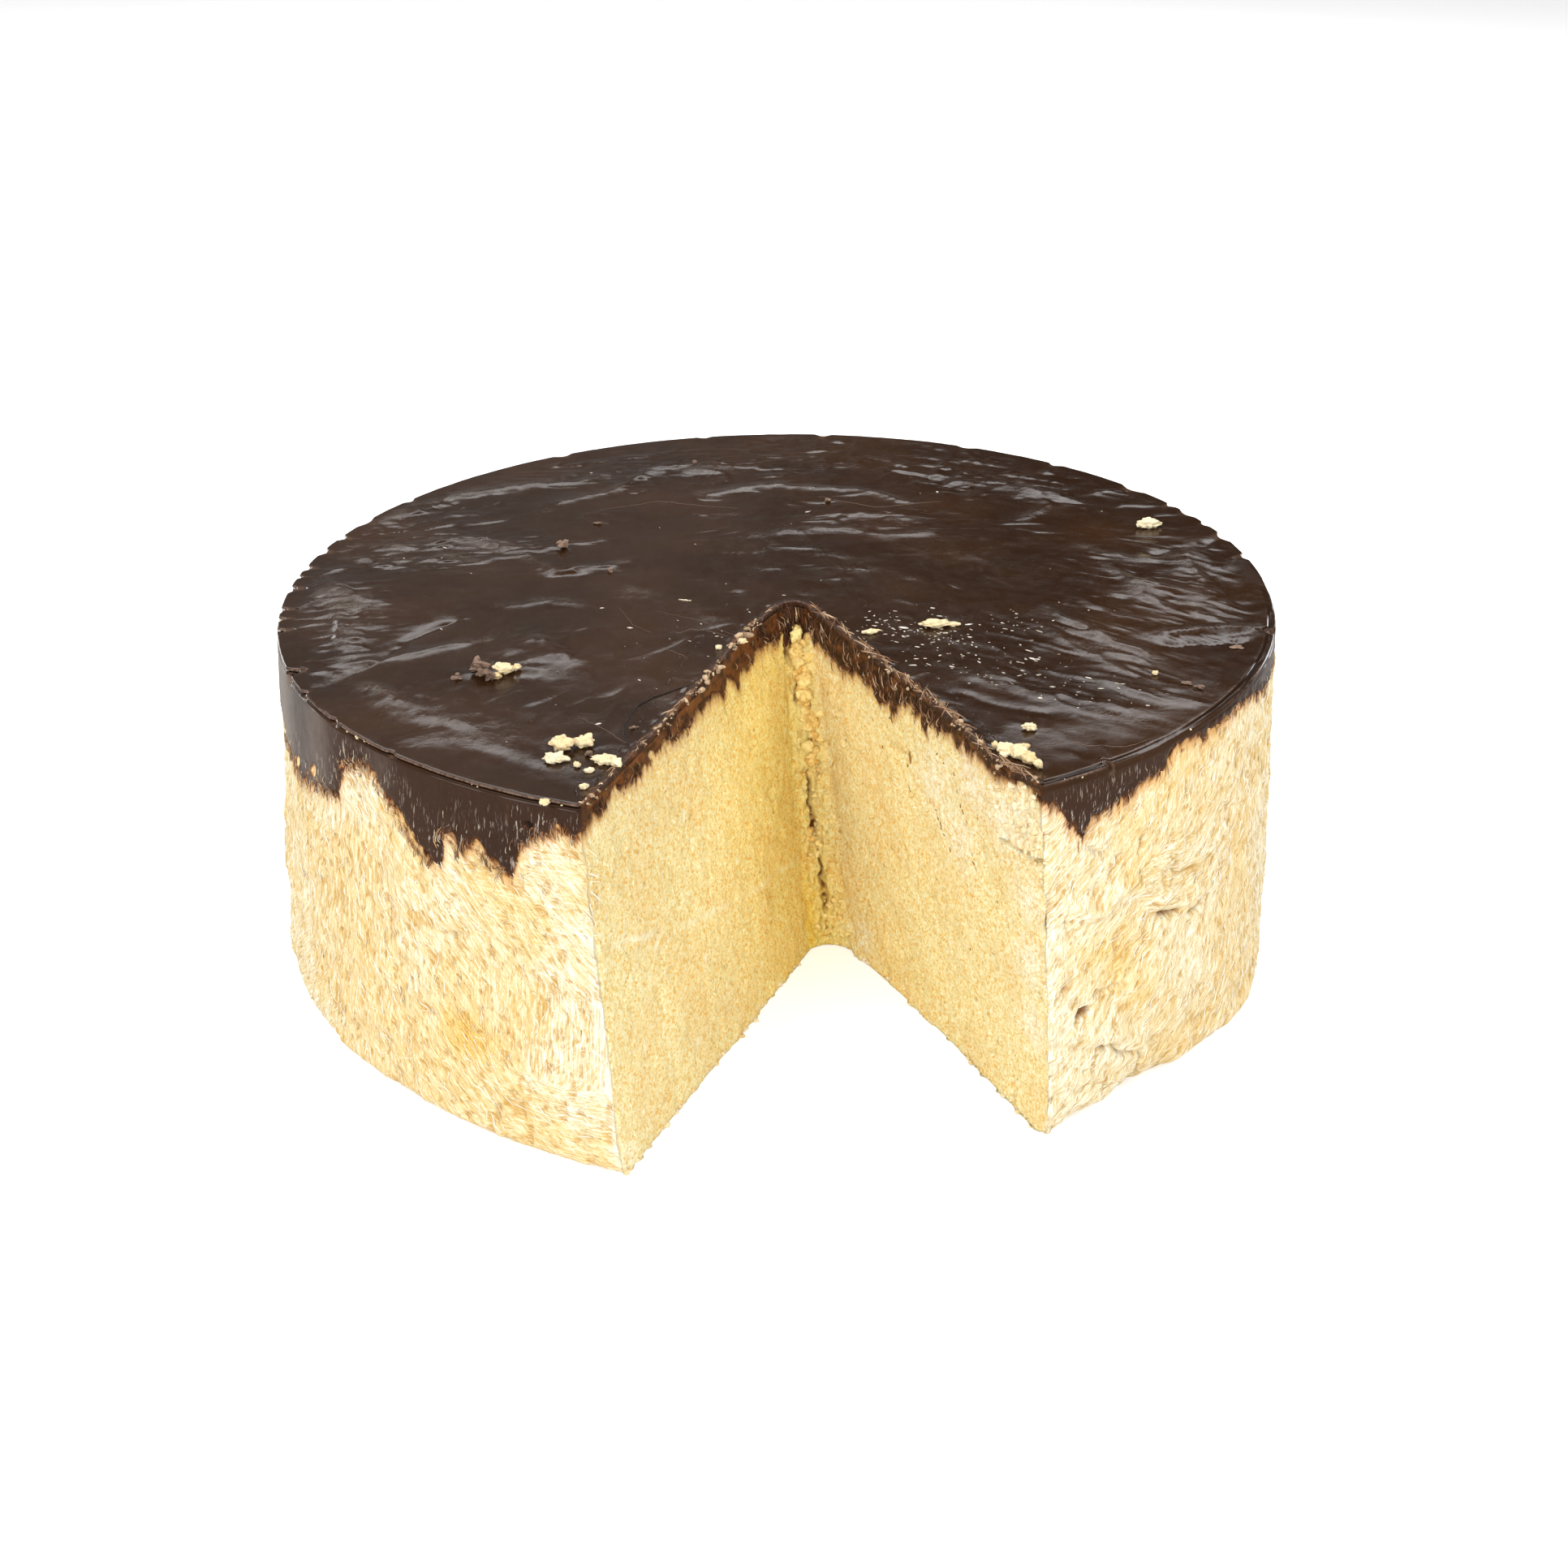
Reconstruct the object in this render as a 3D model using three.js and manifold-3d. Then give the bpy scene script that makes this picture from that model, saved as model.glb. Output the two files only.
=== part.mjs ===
// A round of sesame halva with a chocolate top, one wedge of it cut out and taken away.
// Millimetres, +Z up. The origin is on the axis of the round, on its flat base, and the
// missing wedge opens towards -Y. Angles are in degrees, anticlockwise from +X.

import * as THREE from 'three';
import { mergeVertices } from 'three/addons/utils/BufferGeometryUtils.js';
import Module from 'manifold-3d';

const wasm = await Module();
wasm.setup();

// The round: its sides flare downwards, and its top rises a little towards +X.
const RIM_RADIUS = 108;
const FOOT_RADIUS = 113.5;
const FOOT_SHIFT = 1.2; // how much wider the foot is at +X than at its mean
const HEIGHT = 77.2; // on the axis
const TOP_SLOPE = 0.027;
const COLUMNS = 112; // flats round the outside
const SIDE_LEVELS = [12, 22, 32, 42, 52, 61]; // heights of the rows on the side
const SIDE_RELIEF = 0.55; // how far the pulled sugar fibres make the side uneven
const EDGE_ROUND = 2.6; // radius of the edge round the base

// The foot is pushed out beside the cut at -X, and its edge is worn away beside the cut at +X.
const FOOT_BULGE = { at: -104, width: 6, size: 1.6 };
const FOOT_WEAR = { at: -48, width: 10, size: 3.2, round: 4.5 };

// The rim of the top: a thin raised bead with a groove inside it.
const BEAD_WIDTH = 1.6;
const GROOVE_WIDTH = 1.5;
const GROOVE_DEPTH = 0.55;
const RIM_ROUND = 1.1;

// The top of the chocolate: shallow folds where a film lay on it as it set.
const TOP_RINGS = [98, 87, 74, 58, 40, 20];
const FOLD_HEIGHT = 0.6;
const FOLD_SPACING = 34;
const FOLD_HEADING = 74; // the folds run roughly across the round
const FOLD_BEND = 11;

// The chocolate: a slab on the top and a thin skirt that runs down the side.
const SLAB_THICKNESS = 5.4;
const SLAB_RELIEF = 0.7;
const SKIRT_THICKNESS = 1.8;
const SKIRT_DEPTH = 5.8;
const SKIRT_RAGGED = 0.7;
const SKIRT_THIN = { at: -40, width: 7, size: 3.6 };
const SKIRT_COLUMNS = 132;
const LAYER_GAP = 0.3; // between the chocolate and the halva, which are separate solids

// Where the skirt has run further down: where each run starts and ends, its depth, and the
// angles over which it comes in and goes out.
const SKIRT_RUNS = [
  { from: -178, to: -140.8, depth: 18.5, rise: 12, fall: 2.4 },
  { from: -136.5, to: -120, depth: 20, rise: 10, fall: 6 },
  { from: -119.4, to: -113.4, depth: 15.5, rise: 2.8, fall: 3.2 },
  { from: -63.5, to: -52, depth: 13.5, rise: 4.6, fall: 6.4 },
  { from: -12, to: 6, depth: 12, rise: 8, fall: 7 },
  { from: 18, to: 40, depth: 16, rise: 12, fall: 8 },
  { from: 58, to: 69, depth: 13, rise: 5, fall: 5 },
  { from: 84, to: 116, depth: 18, rise: 14, fall: 9 },
  { from: 126, to: 137, depth: 14, rise: 4, fall: 6 },
  { from: 149, to: 171, depth: 17, rise: 9, fall: 8 },
];

// The missing wedge: its inner edge and its two outer corners, at the top and at the base.
const CUT_TOP = { inner: [3.9, -8.6], left: [-33.4, -102.5], right: [49, -96.5] };
const CUT_FOOT = { inner: [14, -26], left: [-26.4, -111.7], right: [53, -92.8] };
const CUT_REACH = 1.28; // the cutter's corners, as a share of the way from inner edge to corner
const CUT_STEPS = 12; // flats along each cut face
const CUT_LEVELS = 11;
const CUT_RELIEF = 0.6; // the grain of the cut faces
const CUT_BELOW = -4;
const CUT_ABOVE = 88;

// The cut was levered open, so that its inner end tore: a lumpy column with a crack beside it.
const TEAR_WIDTH_TOP = 7;
const TEAR_WIDTH_FOOT = 10;
const TEAR_BULGE = 2.4; // how far the torn column stands into the cut
const CRACK_DEPTH = 4.2;
const CRACK_WIDTH = 1.5;

// Bites out of the rim where the chocolate chipped, by their angles.
const RIM_CHIPS = [8.5, 15, 20.5, 24, 28.5, 35, 47, 61, 72, 90, 101, 119, 133, 147, 156,
  163, 168, 173.5, 180, 186.5, 192.5, 204.5, 345.5];
const CHIP_SIZE = 2.3;

// Holes and cracks in the side of the halva.
const PITS = [
  { at: -60.6, z: 54, wide: 9, high: 3.4, deep: 3.2, tilt: 25 },
  { at: -56.4, z: 62, wide: 10, high: 1.8, deep: 2.4, tilt: -14 },
  { at: -52.7, z: 16.5, wide: 8, high: 2.8, deep: 4, tilt: 12 },
  { at: -47.4, z: 5, wide: 9, high: 6, deep: 3, tilt: 0 },
  { at: -49.9, z: 59, wide: 3, high: 4.5, deep: 3, tilt: 0 },
  { at: -56.9, z: 28, wide: 4, high: 2.6, deep: 2.6, tilt: 40 },
  { at: -19.7, z: 49, wide: 4.5, high: 3.4, deep: 2.4, tilt: 10 },
  { at: -123.7, z: 42, wide: 3.4, high: 2.6, deep: 2, tilt: 0 },
  { at: -117.4, z: 57, wide: 2.6, high: 3, deep: 2, tilt: 0 },
  { at: 12, z: 31, wide: 14, high: 2.4, deep: 2, tilt: -14 },
  { at: 54, z: 46, wide: 5, high: 3.4, deep: 2.6, tilt: 20 },
  { at: 78, z: 24, wide: 18, high: 2.2, deep: 2, tilt: 9 },
  { at: 112, z: 38, wide: 4, high: 4, deep: 2.8, tilt: 0 },
  { at: 151, z: 19, wide: 12, high: 2.4, deep: 2.2, tilt: -8 },
];
const LONG_PIT = 6; // a pit wider than this has more facets

// The larger crumbs that lie on the chocolate.
const CRUMBS = [
  { x: -57.4, y: -46.7, long: 8.4, wide: 5.2, high: 3.2, turn: 12 },
  { x: -49.8, y: 24.3, long: 4.8, wide: 3.6, high: 2.8, turn: 30 },
  { x: -39.2, y: -80.4, long: 4, wide: 3.8, high: 3.4, turn: 80 },
  { x: -35, y: -79.6, long: 4.4, wide: 3.6, high: 3, turn: 10 },
  { x: -39.6, y: -86.2, long: 5, wide: 3, high: 2.4, turn: 0 },
  { x: -30.4, y: -86.6, long: 5.6, wide: 3, high: 2.4, turn: -25 },
  { x: 87.6, y: 34.8, long: 6.4, wide: 4.2, high: 3.2, turn: 8 },
  { x: 34, y: -23, long: 7.4, wide: 4.4, high: 3, turn: 14 },
  { x: 44.6, y: -83.6, long: 5.4, wide: 4, high: 3, turn: 20 },
  { x: 47.6, y: -86.6, long: 6, wide: 3.4, high: 3, turn: -52 },
];
const CRUMB_SINK = 0.35; // how much of a crumb's height is buried, so that it holds on

const CHOCOLATE_FINISH = { color: 0x4a3529, roughness: 0.42, metalness: 0 };
const HALVA_FINISH = { color: 0xf3dca4, roughness: 0.9, metalness: 0 };

const DEG = Math.PI / 180;
const TAU = Math.PI * 2;
const GOLDEN_ANGLE = 2.399963;

const lerp = THREE.MathUtils.lerp;
const smooth = (value) => THREE.MathUtils.smoothstep(value, 0, 1);

// A steady pseudo-random run of numbers from 0 to 1.
function seeded(seed) {
  let state = seed;
  return () => {
    state = (state * 1664525 + 1013904223) % 4294967296;
    return state / 4294967296;
  };
}

// Uneven relief from about -1 to 1, in lumps about `size` across.
function relief(u, v, size, offset = 0) {
  let sum = 0;
  for (let wave = 0; wave < 5; wave++) {
    const heading = wave * GOLDEN_ANGLE + 0.7 + offset;
    const pitch = TAU / (size * (1 + 0.32 * wave));
    sum += Math.sin(pitch * (u * Math.cos(heading) + v * Math.sin(heading)) + 1.9 * wave * wave);
  }
  return sum / 3.2;
}

// A smooth hump of height 1 at one angle of the round.
function hump(degrees, { at, width }) {
  const away = THREE.MathUtils.euclideanModulo(degrees - at + 180, 360) - 180;
  return Math.exp(-0.5 * (away / width) ** 2);
}

const onRound = (degrees, radius, z) => [
  radius * Math.cos(degrees * DEG), radius * Math.sin(degrees * DEG), z];

const topPlane = (x) => HEIGHT + TOP_SLOPE * x;

// Height of the rim, and of any point of the top with its folds.
const rimHeight = (degrees) => topPlane(RIM_RADIUS * Math.cos(degrees * DEG));

function topHeight(x, y) {
  const heading = FOLD_HEADING * DEG;
  const across = x * Math.cos(heading) + y * Math.sin(heading);
  const along = y * Math.cos(heading) - x * Math.sin(heading);
  const bent = across + FOLD_BEND * Math.sin(along / FOLD_SPACING);
  const calm = smooth((RIM_RADIUS - Math.hypot(x, y)) / 16);
  const folds = Math.sin(TAU * bent / FOLD_SPACING) + 0.5 * relief(x, y, 26);
  return topPlane(x) + FOLD_HEIGHT * folds * calm - 0.2 * calm;
}

// Radius of the side at an angle and a height.
function sideRadius(degrees, z) {
  const drop = 1 - z / rimHeight(degrees);
  const foot = FOOT_RADIUS + FOOT_SHIFT * Math.cos(degrees * DEG)
    + FOOT_BULGE.size * hump(degrees, FOOT_BULGE)
    - FOOT_WEAR.size * hump(degrees, FOOT_WEAR) * smooth(1 - z / 30);
  const calm = smooth(drop * 5);
  const arc = degrees * DEG * FOOT_RADIUS;
  const uneven = relief(arc, z * 0.7, 27) + 0.4 * relief(arc, z, 11, 1.3);
  return lerp(RIM_RADIUS, foot, drop) + SIDE_RELIEF * uneven * calm;
}

function newGeometry(points, faces) {
  const geometry = new THREE.BufferGeometry();
  geometry.setAttribute('position', new THREE.Float32BufferAttribute(points.flat(), 3));
  geometry.setIndex(faces.flat());
  return geometry;
}

// A closed geometry through rings of points, the lowest ring first, each ring anticlockwise
// seen from above. The first and last rings are closed by a fan to a centre point.
function loftFans(rings, lowCentre, highCentre) {
  const count = rings[0].length;
  const points = [...rings.flat(), lowCentre, highCentre];
  const low = points.length - 2;
  const high = points.length - 1;
  const last = (rings.length - 1) * count;
  const faces = wallFaces(rings.length, count);
  for (let j = 0; j < count; j++) {
    const next = (j + 1) % count;
    faces.push([low, next, j], [high, last + j, last + next]);
  }
  return newGeometry(points, faces);
}

function wallFaces(ringCount, count) {
  const faces = [];
  for (let i = 0; i < ringCount - 1; i++) {
    for (let j = 0; j < count; j++) {
      const a = i * count + j;
      const b = i * count + (j + 1) % count;
      faces.push([a, b, b + count], [a, b + count, a + count]);
    }
  }
  return faces;
}

function toManifold(geometry) {
  const bare = geometry.clone();
  bare.deleteAttribute('normal');
  bare.deleteAttribute('uv');
  const merged = mergeVertices(bare, 1e-5);
  const triVerts = new Uint32Array(merged.index.array);
  const vertProperties = new Float32Array(merged.attributes.position.array);
  return new wasm.Manifold(new wasm.Mesh({ numProp: 3, vertProperties, triVerts }));
}

function toMesh(solid, name, finish) {
  const { vertProperties, triVerts } = solid.getMesh();
  const geometry = new THREE.BufferGeometry();
  geometry.setAttribute('position', new THREE.BufferAttribute(vertProperties, 3));
  geometry.setIndex(new THREE.BufferAttribute(triVerts, 1));
  const mesh = new THREE.Mesh(geometry, new THREE.MeshStandardMaterial(finish));
  mesh.name = name;
  return mesh;
}

const angles = (count) => Array.from({ length: count }, (_, j) => (j / count) * 360 - 180);

// The whole round before it was cut, in rings from the base to the middle of the top.
function wholeRound() {
  const ring = (place) => angles(COLUMNS).map((degrees) => onRound(degrees, ...place(degrees)));
  const edge = (degrees) => EDGE_ROUND + FOOT_WEAR.round * hump(degrees, FOOT_WEAR);
  const edgeRing = (turn) => ring((degrees) => {
    const size = edge(degrees);
    const inset = size * (1 - Math.sin(turn * DEG));
    return [sideRadius(degrees, size) - inset, size * (1 - Math.cos(turn * DEG))];
  });
  const onTop = (inset) => ring((degrees) => {
    const [x, y] = onRound(degrees, RIM_RADIUS - inset, 0);
    return [RIM_RADIUS - inset, topHeight(x, y)];
  });
  const grooved = BEAD_WIDTH + GROOVE_WIDTH / 2;
  const rings = [
    edgeRing(0), edgeRing(45), edgeRing(90),
    ...SIDE_LEVELS.map((z) => ring((degrees) => [sideRadius(degrees, z), z])),
    ring((degrees) => [RIM_RADIUS + 0.4, rimHeight(degrees) - 5]),
    ring((degrees) => [RIM_RADIUS, rimHeight(degrees) - RIM_ROUND]),
    onTop(RIM_ROUND * 0.6),
    onTop(BEAD_WIDTH),
    ring((degrees) => [RIM_RADIUS - grooved, rimHeight(degrees) - GROOVE_DEPTH]),
    onTop(BEAD_WIDTH + GROOVE_WIDTH),
    ...TOP_RINGS.map((radius) => onTop(RIM_RADIUS - radius)),
  ];
  return toManifold(loftFans(rings, [0, 0, 0], [0, 0, topHeight(0, 0)]));
}

// How far down the side the chocolate reaches.
function skirtDepth(degrees) {
  const ragged = SKIRT_RAGGED * relief(degrees * DEG * RIM_RADIUS, 0, 9);
  let depth = SKIRT_DEPTH - SKIRT_THIN.size * hump(degrees, SKIRT_THIN) + ragged;
  for (const { from, to, depth: deepest, rise, fall } of SKIRT_RUNS) {
    const run = smooth((degrees - from) / rise) * smooth((to - degrees) / fall);
    depth = Math.max(depth, deepest * run + ragged);
  }
  return Math.max(depth, RIM_ROUND + 0.8);
}

// Everything above the underside of the chocolate. `gap` lowers that underside.
function aboveHalva(gap) {
  const outside = FOOT_RADIUS + 25;
  const lid = HEIGHT + 25;
  const under = (x, y) => topPlane(x) - SLAB_THICKNESS - gap - SLAB_RELIEF * relief(x, y, 31, 2);
  const ring = (place) => angles(SKIRT_COLUMNS)
    .map((degrees) => onRound(degrees, ...place(degrees)));
  const slab = (radius) => ring((degrees) => {
    const [x, y] = onRound(degrees, radius, 0);
    return [radius, under(x, y)];
  });
  const skirt = (inset, lift) => ring((degrees) => {
    const depth = skirtDepth(degrees) + gap;
    const z = rimHeight(degrees) - depth;
    const shelf = Math.min(z + lift, rimHeight(degrees) - RIM_ROUND - gap);
    return [sideRadius(degrees, z) - inset, shelf];
  });
  const shoulder = ring((degrees) => {
    const depth = Math.min(skirtDepth(degrees), SLAB_THICKNESS) + gap;
    return [RIM_RADIUS - SKIRT_THICKNESS - gap - 1.4, rimHeight(degrees) - depth];
  });
  const foot = ring((degrees) => [outside, rimHeight(degrees) - skirtDepth(degrees) - gap]);
  const rings = [
    slab(52), slab(99), shoulder,
    skirt(SKIRT_THICKNESS + gap, 0.6), skirt(-0.6, 0), foot,
    ring(() => [outside, lid]),
  ];
  const centre = [0, 0, under(0, 0)];
  return toManifold(loftFans(rings, centre, [0, 0, lid]));
}

// The plan of the missing wedge at a height, anticlockwise: in along the left face, round the
// torn inner end, out along the right face, and closed beyond the rim.
function cutPlan(z) {
  const share = z / HEIGHT;
  const between = (name) => [0, 1].map((k) => lerp(CUT_FOOT[name][k], CUT_TOP[name][k], share));
  const inner = between('inner');
  const tear = lerp(TEAR_WIDTH_FOOT, TEAR_WIDTH_TOP, share) / 2;
  const face = (name, side) => {
    const corner = between(name);
    const start = [inner[0] + side * tear, inner[1] - 3];
    const run = [corner[0] - start[0], corner[1] - start[1]];
    const length = Math.hypot(...run);
    const out = [-run[1] / length, run[0] / length];
    return Array.from({ length: CUT_STEPS + 1 }, (_, k) => {
      const along = (k / CUT_STEPS) * CUT_REACH;
      const grain = CUT_RELIEF * relief(along * length, z, 13, side)
        + bow(name, along, share);
      return [start[0] + run[0] * along + out[0] * grain, start[1] + run[1] * along + out[1] * grain];
    });
  };
  const left = face('left', -1);
  const right = face('right', 1);
  const lump = TEAR_BULGE * smooth(share * 1.6) * (0.7 + 0.5 * relief(0, z, 15));
  const crack = CRACK_DEPTH * (0.75 + 0.35 * relief(z, 9, 21));
  const torn = [
    [inner[0] - tear + 0.8, inner[1] - 0.6],
    [inner[0] - tear + 1 + CRACK_WIDTH / 2, inner[1] + crack],
    [inner[0] - tear + 1 + CRACK_WIDTH, inner[1] - 0.4],
    [inner[0] + 0.6, inner[1] - lump],
    [inner[0] + tear * 0.7, inner[1] - 1.4 - lump * 0.4],
  ];
  return [...left.reverse(), ...torn, ...right].reverse().map(([x, y]) => [x, y, z]);
}

// How far each cut face bows from a straight line, towards +X.
function bow(name, along, share) {
  const inward = Math.exp(-0.5 * ((along - 0.17) / 0.1) ** 2);
  const corner = Math.exp(-0.5 * ((along - 0.84) / 0.07) ** 2);
  const top = smooth((share - 0.7) / 0.3);
  if (name === 'left') return -1.6 * inward * top;
  return 1.2 * (1 - share) * Math.sin(Math.PI * Math.min(along, 1)) - 1.8 * corner * top;
}

function missingWedge() {
  const rings = Array.from({ length: CUT_LEVELS + 1 }, (_, i) => (
    cutPlan(lerp(CUT_BELOW, CUT_ABOVE, i / CUT_LEVELS))));
  const count = rings[0].length;
  const faces = wallFaces(rings.length, count);
  const capFaces = (ring) => THREE.ShapeUtils.triangulateShape(
    ring.map(([x, y]) => new THREE.Vector2(x, y)), []);
  const last = (rings.length - 1) * count;
  for (const [a, b, c] of capFaces(rings[0])) faces.push([a, c, b]);
  for (const [a, b, c] of capFaces(rings.at(-1))) faces.push([last + a, last + b, last + c]);
  return toManifold(newGeometry(rings.flat(), faces));
}

// A rough lump with flat facets, `size` being its full width each way.
function lump(size, seed, detail = 0) {
  const random = seeded(seed);
  const geometry = mergeVertices(bareGeometry(new THREE.IcosahedronGeometry(0.5, detail)), 1e-4);
  const position = geometry.attributes.position;
  for (let i = 0; i < position.count; i++) {
    const grow = 0.86 + 0.28 * random();
    position.setXYZ(i, position.getX(i) * size[0] * grow, position.getY(i) * size[1] * grow,
      position.getZ(i) * size[2] * grow);
  }
  return geometry;
}

function bareGeometry(geometry) {
  geometry.deleteAttribute('normal');
  geometry.deleteAttribute('uv');
  return geometry;
}

// Pieces bitten out of the rim of the chocolate.
function rimChips() {
  return RIM_CHIPS.map((degrees, index) => {
    const random = seeded(100 + index);
    const size = CHIP_SIZE * (0.75 + 0.6 * random());
    const chip = lump([size * 1.5, size * 2.4, size * 1.5], 200 + index);
    chip.rotateZ((degrees + 24 * (random() - 0.5)) * DEG);
    chip.translate(...onRound(degrees, RIM_RADIUS + 0.3 * size, rimHeight(degrees) - 0.1 * size));
    return toManifold(chip);
  });
}

// Holes and cracks in the side.
function sidePits() {
  return PITS.map(({ at, z, wide, high, deep, tilt }, index) => {
    const pit = lump([deep * 2, wide, high], 300 + index, wide > LONG_PIT ? 1 : 0);
    pit.rotateX(tilt * DEG);
    pit.rotateZ(at * DEG);
    pit.translate(...onRound(at, sideRadius(at, z), z));
    return toManifold(pit);
  });
}

function crumbs() {
  return CRUMBS.map(({ x, y, long, wide, high, turn }, index) => {
    const crumb = lump([long, wide, high], 400 + index, 1);
    crumb.rotateZ(turn * DEG);
    crumb.translate(x, y, topHeight(x, y) + high * (0.5 - CRUMB_SINK));
    return toManifold(crumb);
  });
}

const all = (solids) => solids.reduce((sum, solid) => sum.add(solid));

const cutRound = wholeRound().subtract(missingWedge()).subtract(all(rimChips()));

function chocolate() {
  const layer = largestPiece(cutRound.intersect(aboveHalva(0)));
  return toMesh(layer.add(all(crumbs())), 'chocolate', CHOCOLATE_FINISH);
}

function halva() {
  const body = largestPiece(cutRound.subtract(aboveHalva(LAYER_GAP)).subtract(all(sidePits())));
  return toMesh(body, 'halva', HALVA_FINISH);
}

// Cutting can leave loose scraps, which are dropped.
function largestPiece(solid) {
  return solid.decompose().reduce((best, piece) => (piece.volume() > best.volume() ? piece : best));
}

const group = new THREE.Group();
group.add(halva(), chocolate());

export default group;
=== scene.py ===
import math

import bmesh
import bpy
import numpy as np
from mathutils import Matrix, Vector


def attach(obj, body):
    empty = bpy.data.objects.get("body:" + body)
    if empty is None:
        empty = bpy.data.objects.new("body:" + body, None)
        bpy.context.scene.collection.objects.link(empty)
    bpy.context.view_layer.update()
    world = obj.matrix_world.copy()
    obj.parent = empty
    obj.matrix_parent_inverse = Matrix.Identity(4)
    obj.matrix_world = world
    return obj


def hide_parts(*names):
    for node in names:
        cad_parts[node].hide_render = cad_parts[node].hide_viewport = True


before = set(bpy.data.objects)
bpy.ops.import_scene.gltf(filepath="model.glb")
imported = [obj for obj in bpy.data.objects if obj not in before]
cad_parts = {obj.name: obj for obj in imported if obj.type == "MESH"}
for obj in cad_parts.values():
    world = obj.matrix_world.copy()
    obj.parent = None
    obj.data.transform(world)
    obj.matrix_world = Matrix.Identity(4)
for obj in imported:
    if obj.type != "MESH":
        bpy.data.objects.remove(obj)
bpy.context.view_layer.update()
print("stage: frame loaded")

mm = 0.001  # shapes are worked out in millimetres and built in metres
turn = 2 * math.pi

# The round of halva. Angles are in degrees, anticlockwise from +X, and the cut opens towards -Y.
halvaRound = {
    "rimRadius": 108.0, "footRadius": 113.5, "footShift": 1.2,
    "height": 77.2, "topSlope": 0.027,
    "bulgeAt": -104, "bulgeWidth": 9, "bulge": 1.6,
    "wearAt": -48, "wearWidth": 10, "wear": 3.2, "wearHeight": 30,
    "edgeRound": 2.6, "wornRound": 4.5,
}

# The missing wedge: inner edge and outer corners, at the top and at the foot.
cutWedge = {
    "topInner": (3.9, -8.6), "topLeft": (-33.4, -102.5), "topRight": (49.0, -96.5),
    "footInner": (14.0, -26.0), "footLeft": (-26.4, -111.7), "footRight": (53.0, -92.8),
    "tearTop": 7.0, "tearFoot": 10.0, "tearStep": 3.0,
}

# The chocolate: slab on top, thin skirt outside, and the places where the skirt ran down.
chocolateCover = {
    "underside": 6.4, "skirtThickness": 1.8, "skirtDepth": 5.8, "slabAt": (2.0, 40.0),
    "runs": [
        (-12, 6, 12, 8, 7), (18, 40, 16, 12, 8), (58, 69, 13, 5, 5), (84, 116, 18, 14, 9),
        (126, 137, 14, 4, 6), (149, 171, 17, 9, 8),
    ],  # from, to, depth, ease in, ease out
    "frontEdge": [
        (-176, 9), (-168, 15), (-155, 20), (-152, 20), (-145.4, 17.4), (-142.6, 16.6), (-141.9, 13),
        (-141.2, 11.2), (-140.8, 8.7), (-139.6, 7.5), (-136, 5.5), (-134.4, 6), (-132.9, 8.9),
        (-129.3, 15.3), (-127.9, 18.2),
        (-126.1, 19.8), (-125.2, 17.5), (-124.3, 12), (-123.1, 11.4), (-122.3, 14.8), (-121.5, 12.6),
        (-120.2, 11.4), (-119.1, 14.2), (-118, 15.4), (-116.5, 17), (-115.1, 9.6),
        (-113, 7.6), (-110.8, 5.7), (-107, 6.8), (-63.6, 3.6), (-61.7, 4.3), (-60.4, 8.2), (-58.4, 13.1),
        (-57.3, 10.1), (-54.9, 7.9), (-52.1, 6.9), (-46.6, 5.6), (-45.3, 2.2), (-42.7, 1.9), (-40, 3.2),
        (-34.9, 2.5), (-30.7, 3.3), (-23.8, 6.4), (-12, 8),
    ],  # angle, depth below the top: the lower edge of the skirt on either side of the cut
    # on the cut: share of the face and thickness, and tails with their share, length and width
    "leftBand": [(0, 6.6), (0.2, 5.4), (0.6, 4.2), (0.85, 3.4), (1, 4.4)],
    "rightBand": [(0, 7.4), (0.25, 7.6), (0.5, 5.6), (0.7, 3.6), (0.88, 3.4), (0.94, 1.6), (1, 1.6)],
    "leftTails": [
        (0.17, 2.4, 0.02), (0.235, 3.4, 0.016), (0.33, 1.6, 0.02), (0.55, 1.4, 0.03), (0.79, 2, 0.03)],
    "rightTails": [
        (0.14, 1.6, 0.03), (0.33, 2.4, 0.02), (0.38, 3.2, 0.014), (0.53, 3.4, 0.012), (0.66, 1.4, 0.02)],
    "proud": 0.32, "tuck": 0.55,
}

# Small places where the skirt is so thin that the halva shows: angle, depth below the top,
# half width, half height.
bareSpots = [
    (-139.4, 9.4, 1.3, 1.3), (-152.4, 17.8, 1.6, 1.2), (-147, 15.4, 1.1, 1),
    (-46.2, 4.6, 1.2, 0.9), (28, 12, 2, 1.6), (99, 14, 2.4, 1.8), (161, 13, 1.8, 1.4),
]
skirtHole = {"at": -113.6, "drop": 6.0, "halfWide": 0.9, "halfHigh": 0.55}

# How finely the surfaces are divided.
meshDetail = {
    "outer": 1120, "face": 176, "tear": 52,
    "halvaRows": 130, "skirtRows": 26, "topRows": 116,
}


def smooth(value):
    value = np.clip(value, 0, 1)
    return value * value * (3 - 2 * value)


def blend(low, high, share):
    return low + (high - low) * share


def hump(value, at, width):
    return np.exp(-0.5 * ((value - at) / width) ** 2)


# An angle brought between -180 and 180 degrees.
def wrap(degrees):
    return (degrees + 180) % 360 - 180


def angleHump(degrees, at, width):
    return hump(wrap(degrees - at), 0, width)


# Distances along and across a direction, given in radians.
def alongAcross(x, y, lean):
    c, s = math.cos(lean), math.sin(lean)
    return x * c + y * s, y * c - x * s


def withHeight(plan, z):
    return np.concatenate([plan, z[..., None]], axis=-1)


def onCircle(degrees, radius):
    radians = np.radians(degrees)
    return np.stack([radius * np.cos(radians), radius * np.sin(radians)], axis=-1)


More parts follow.
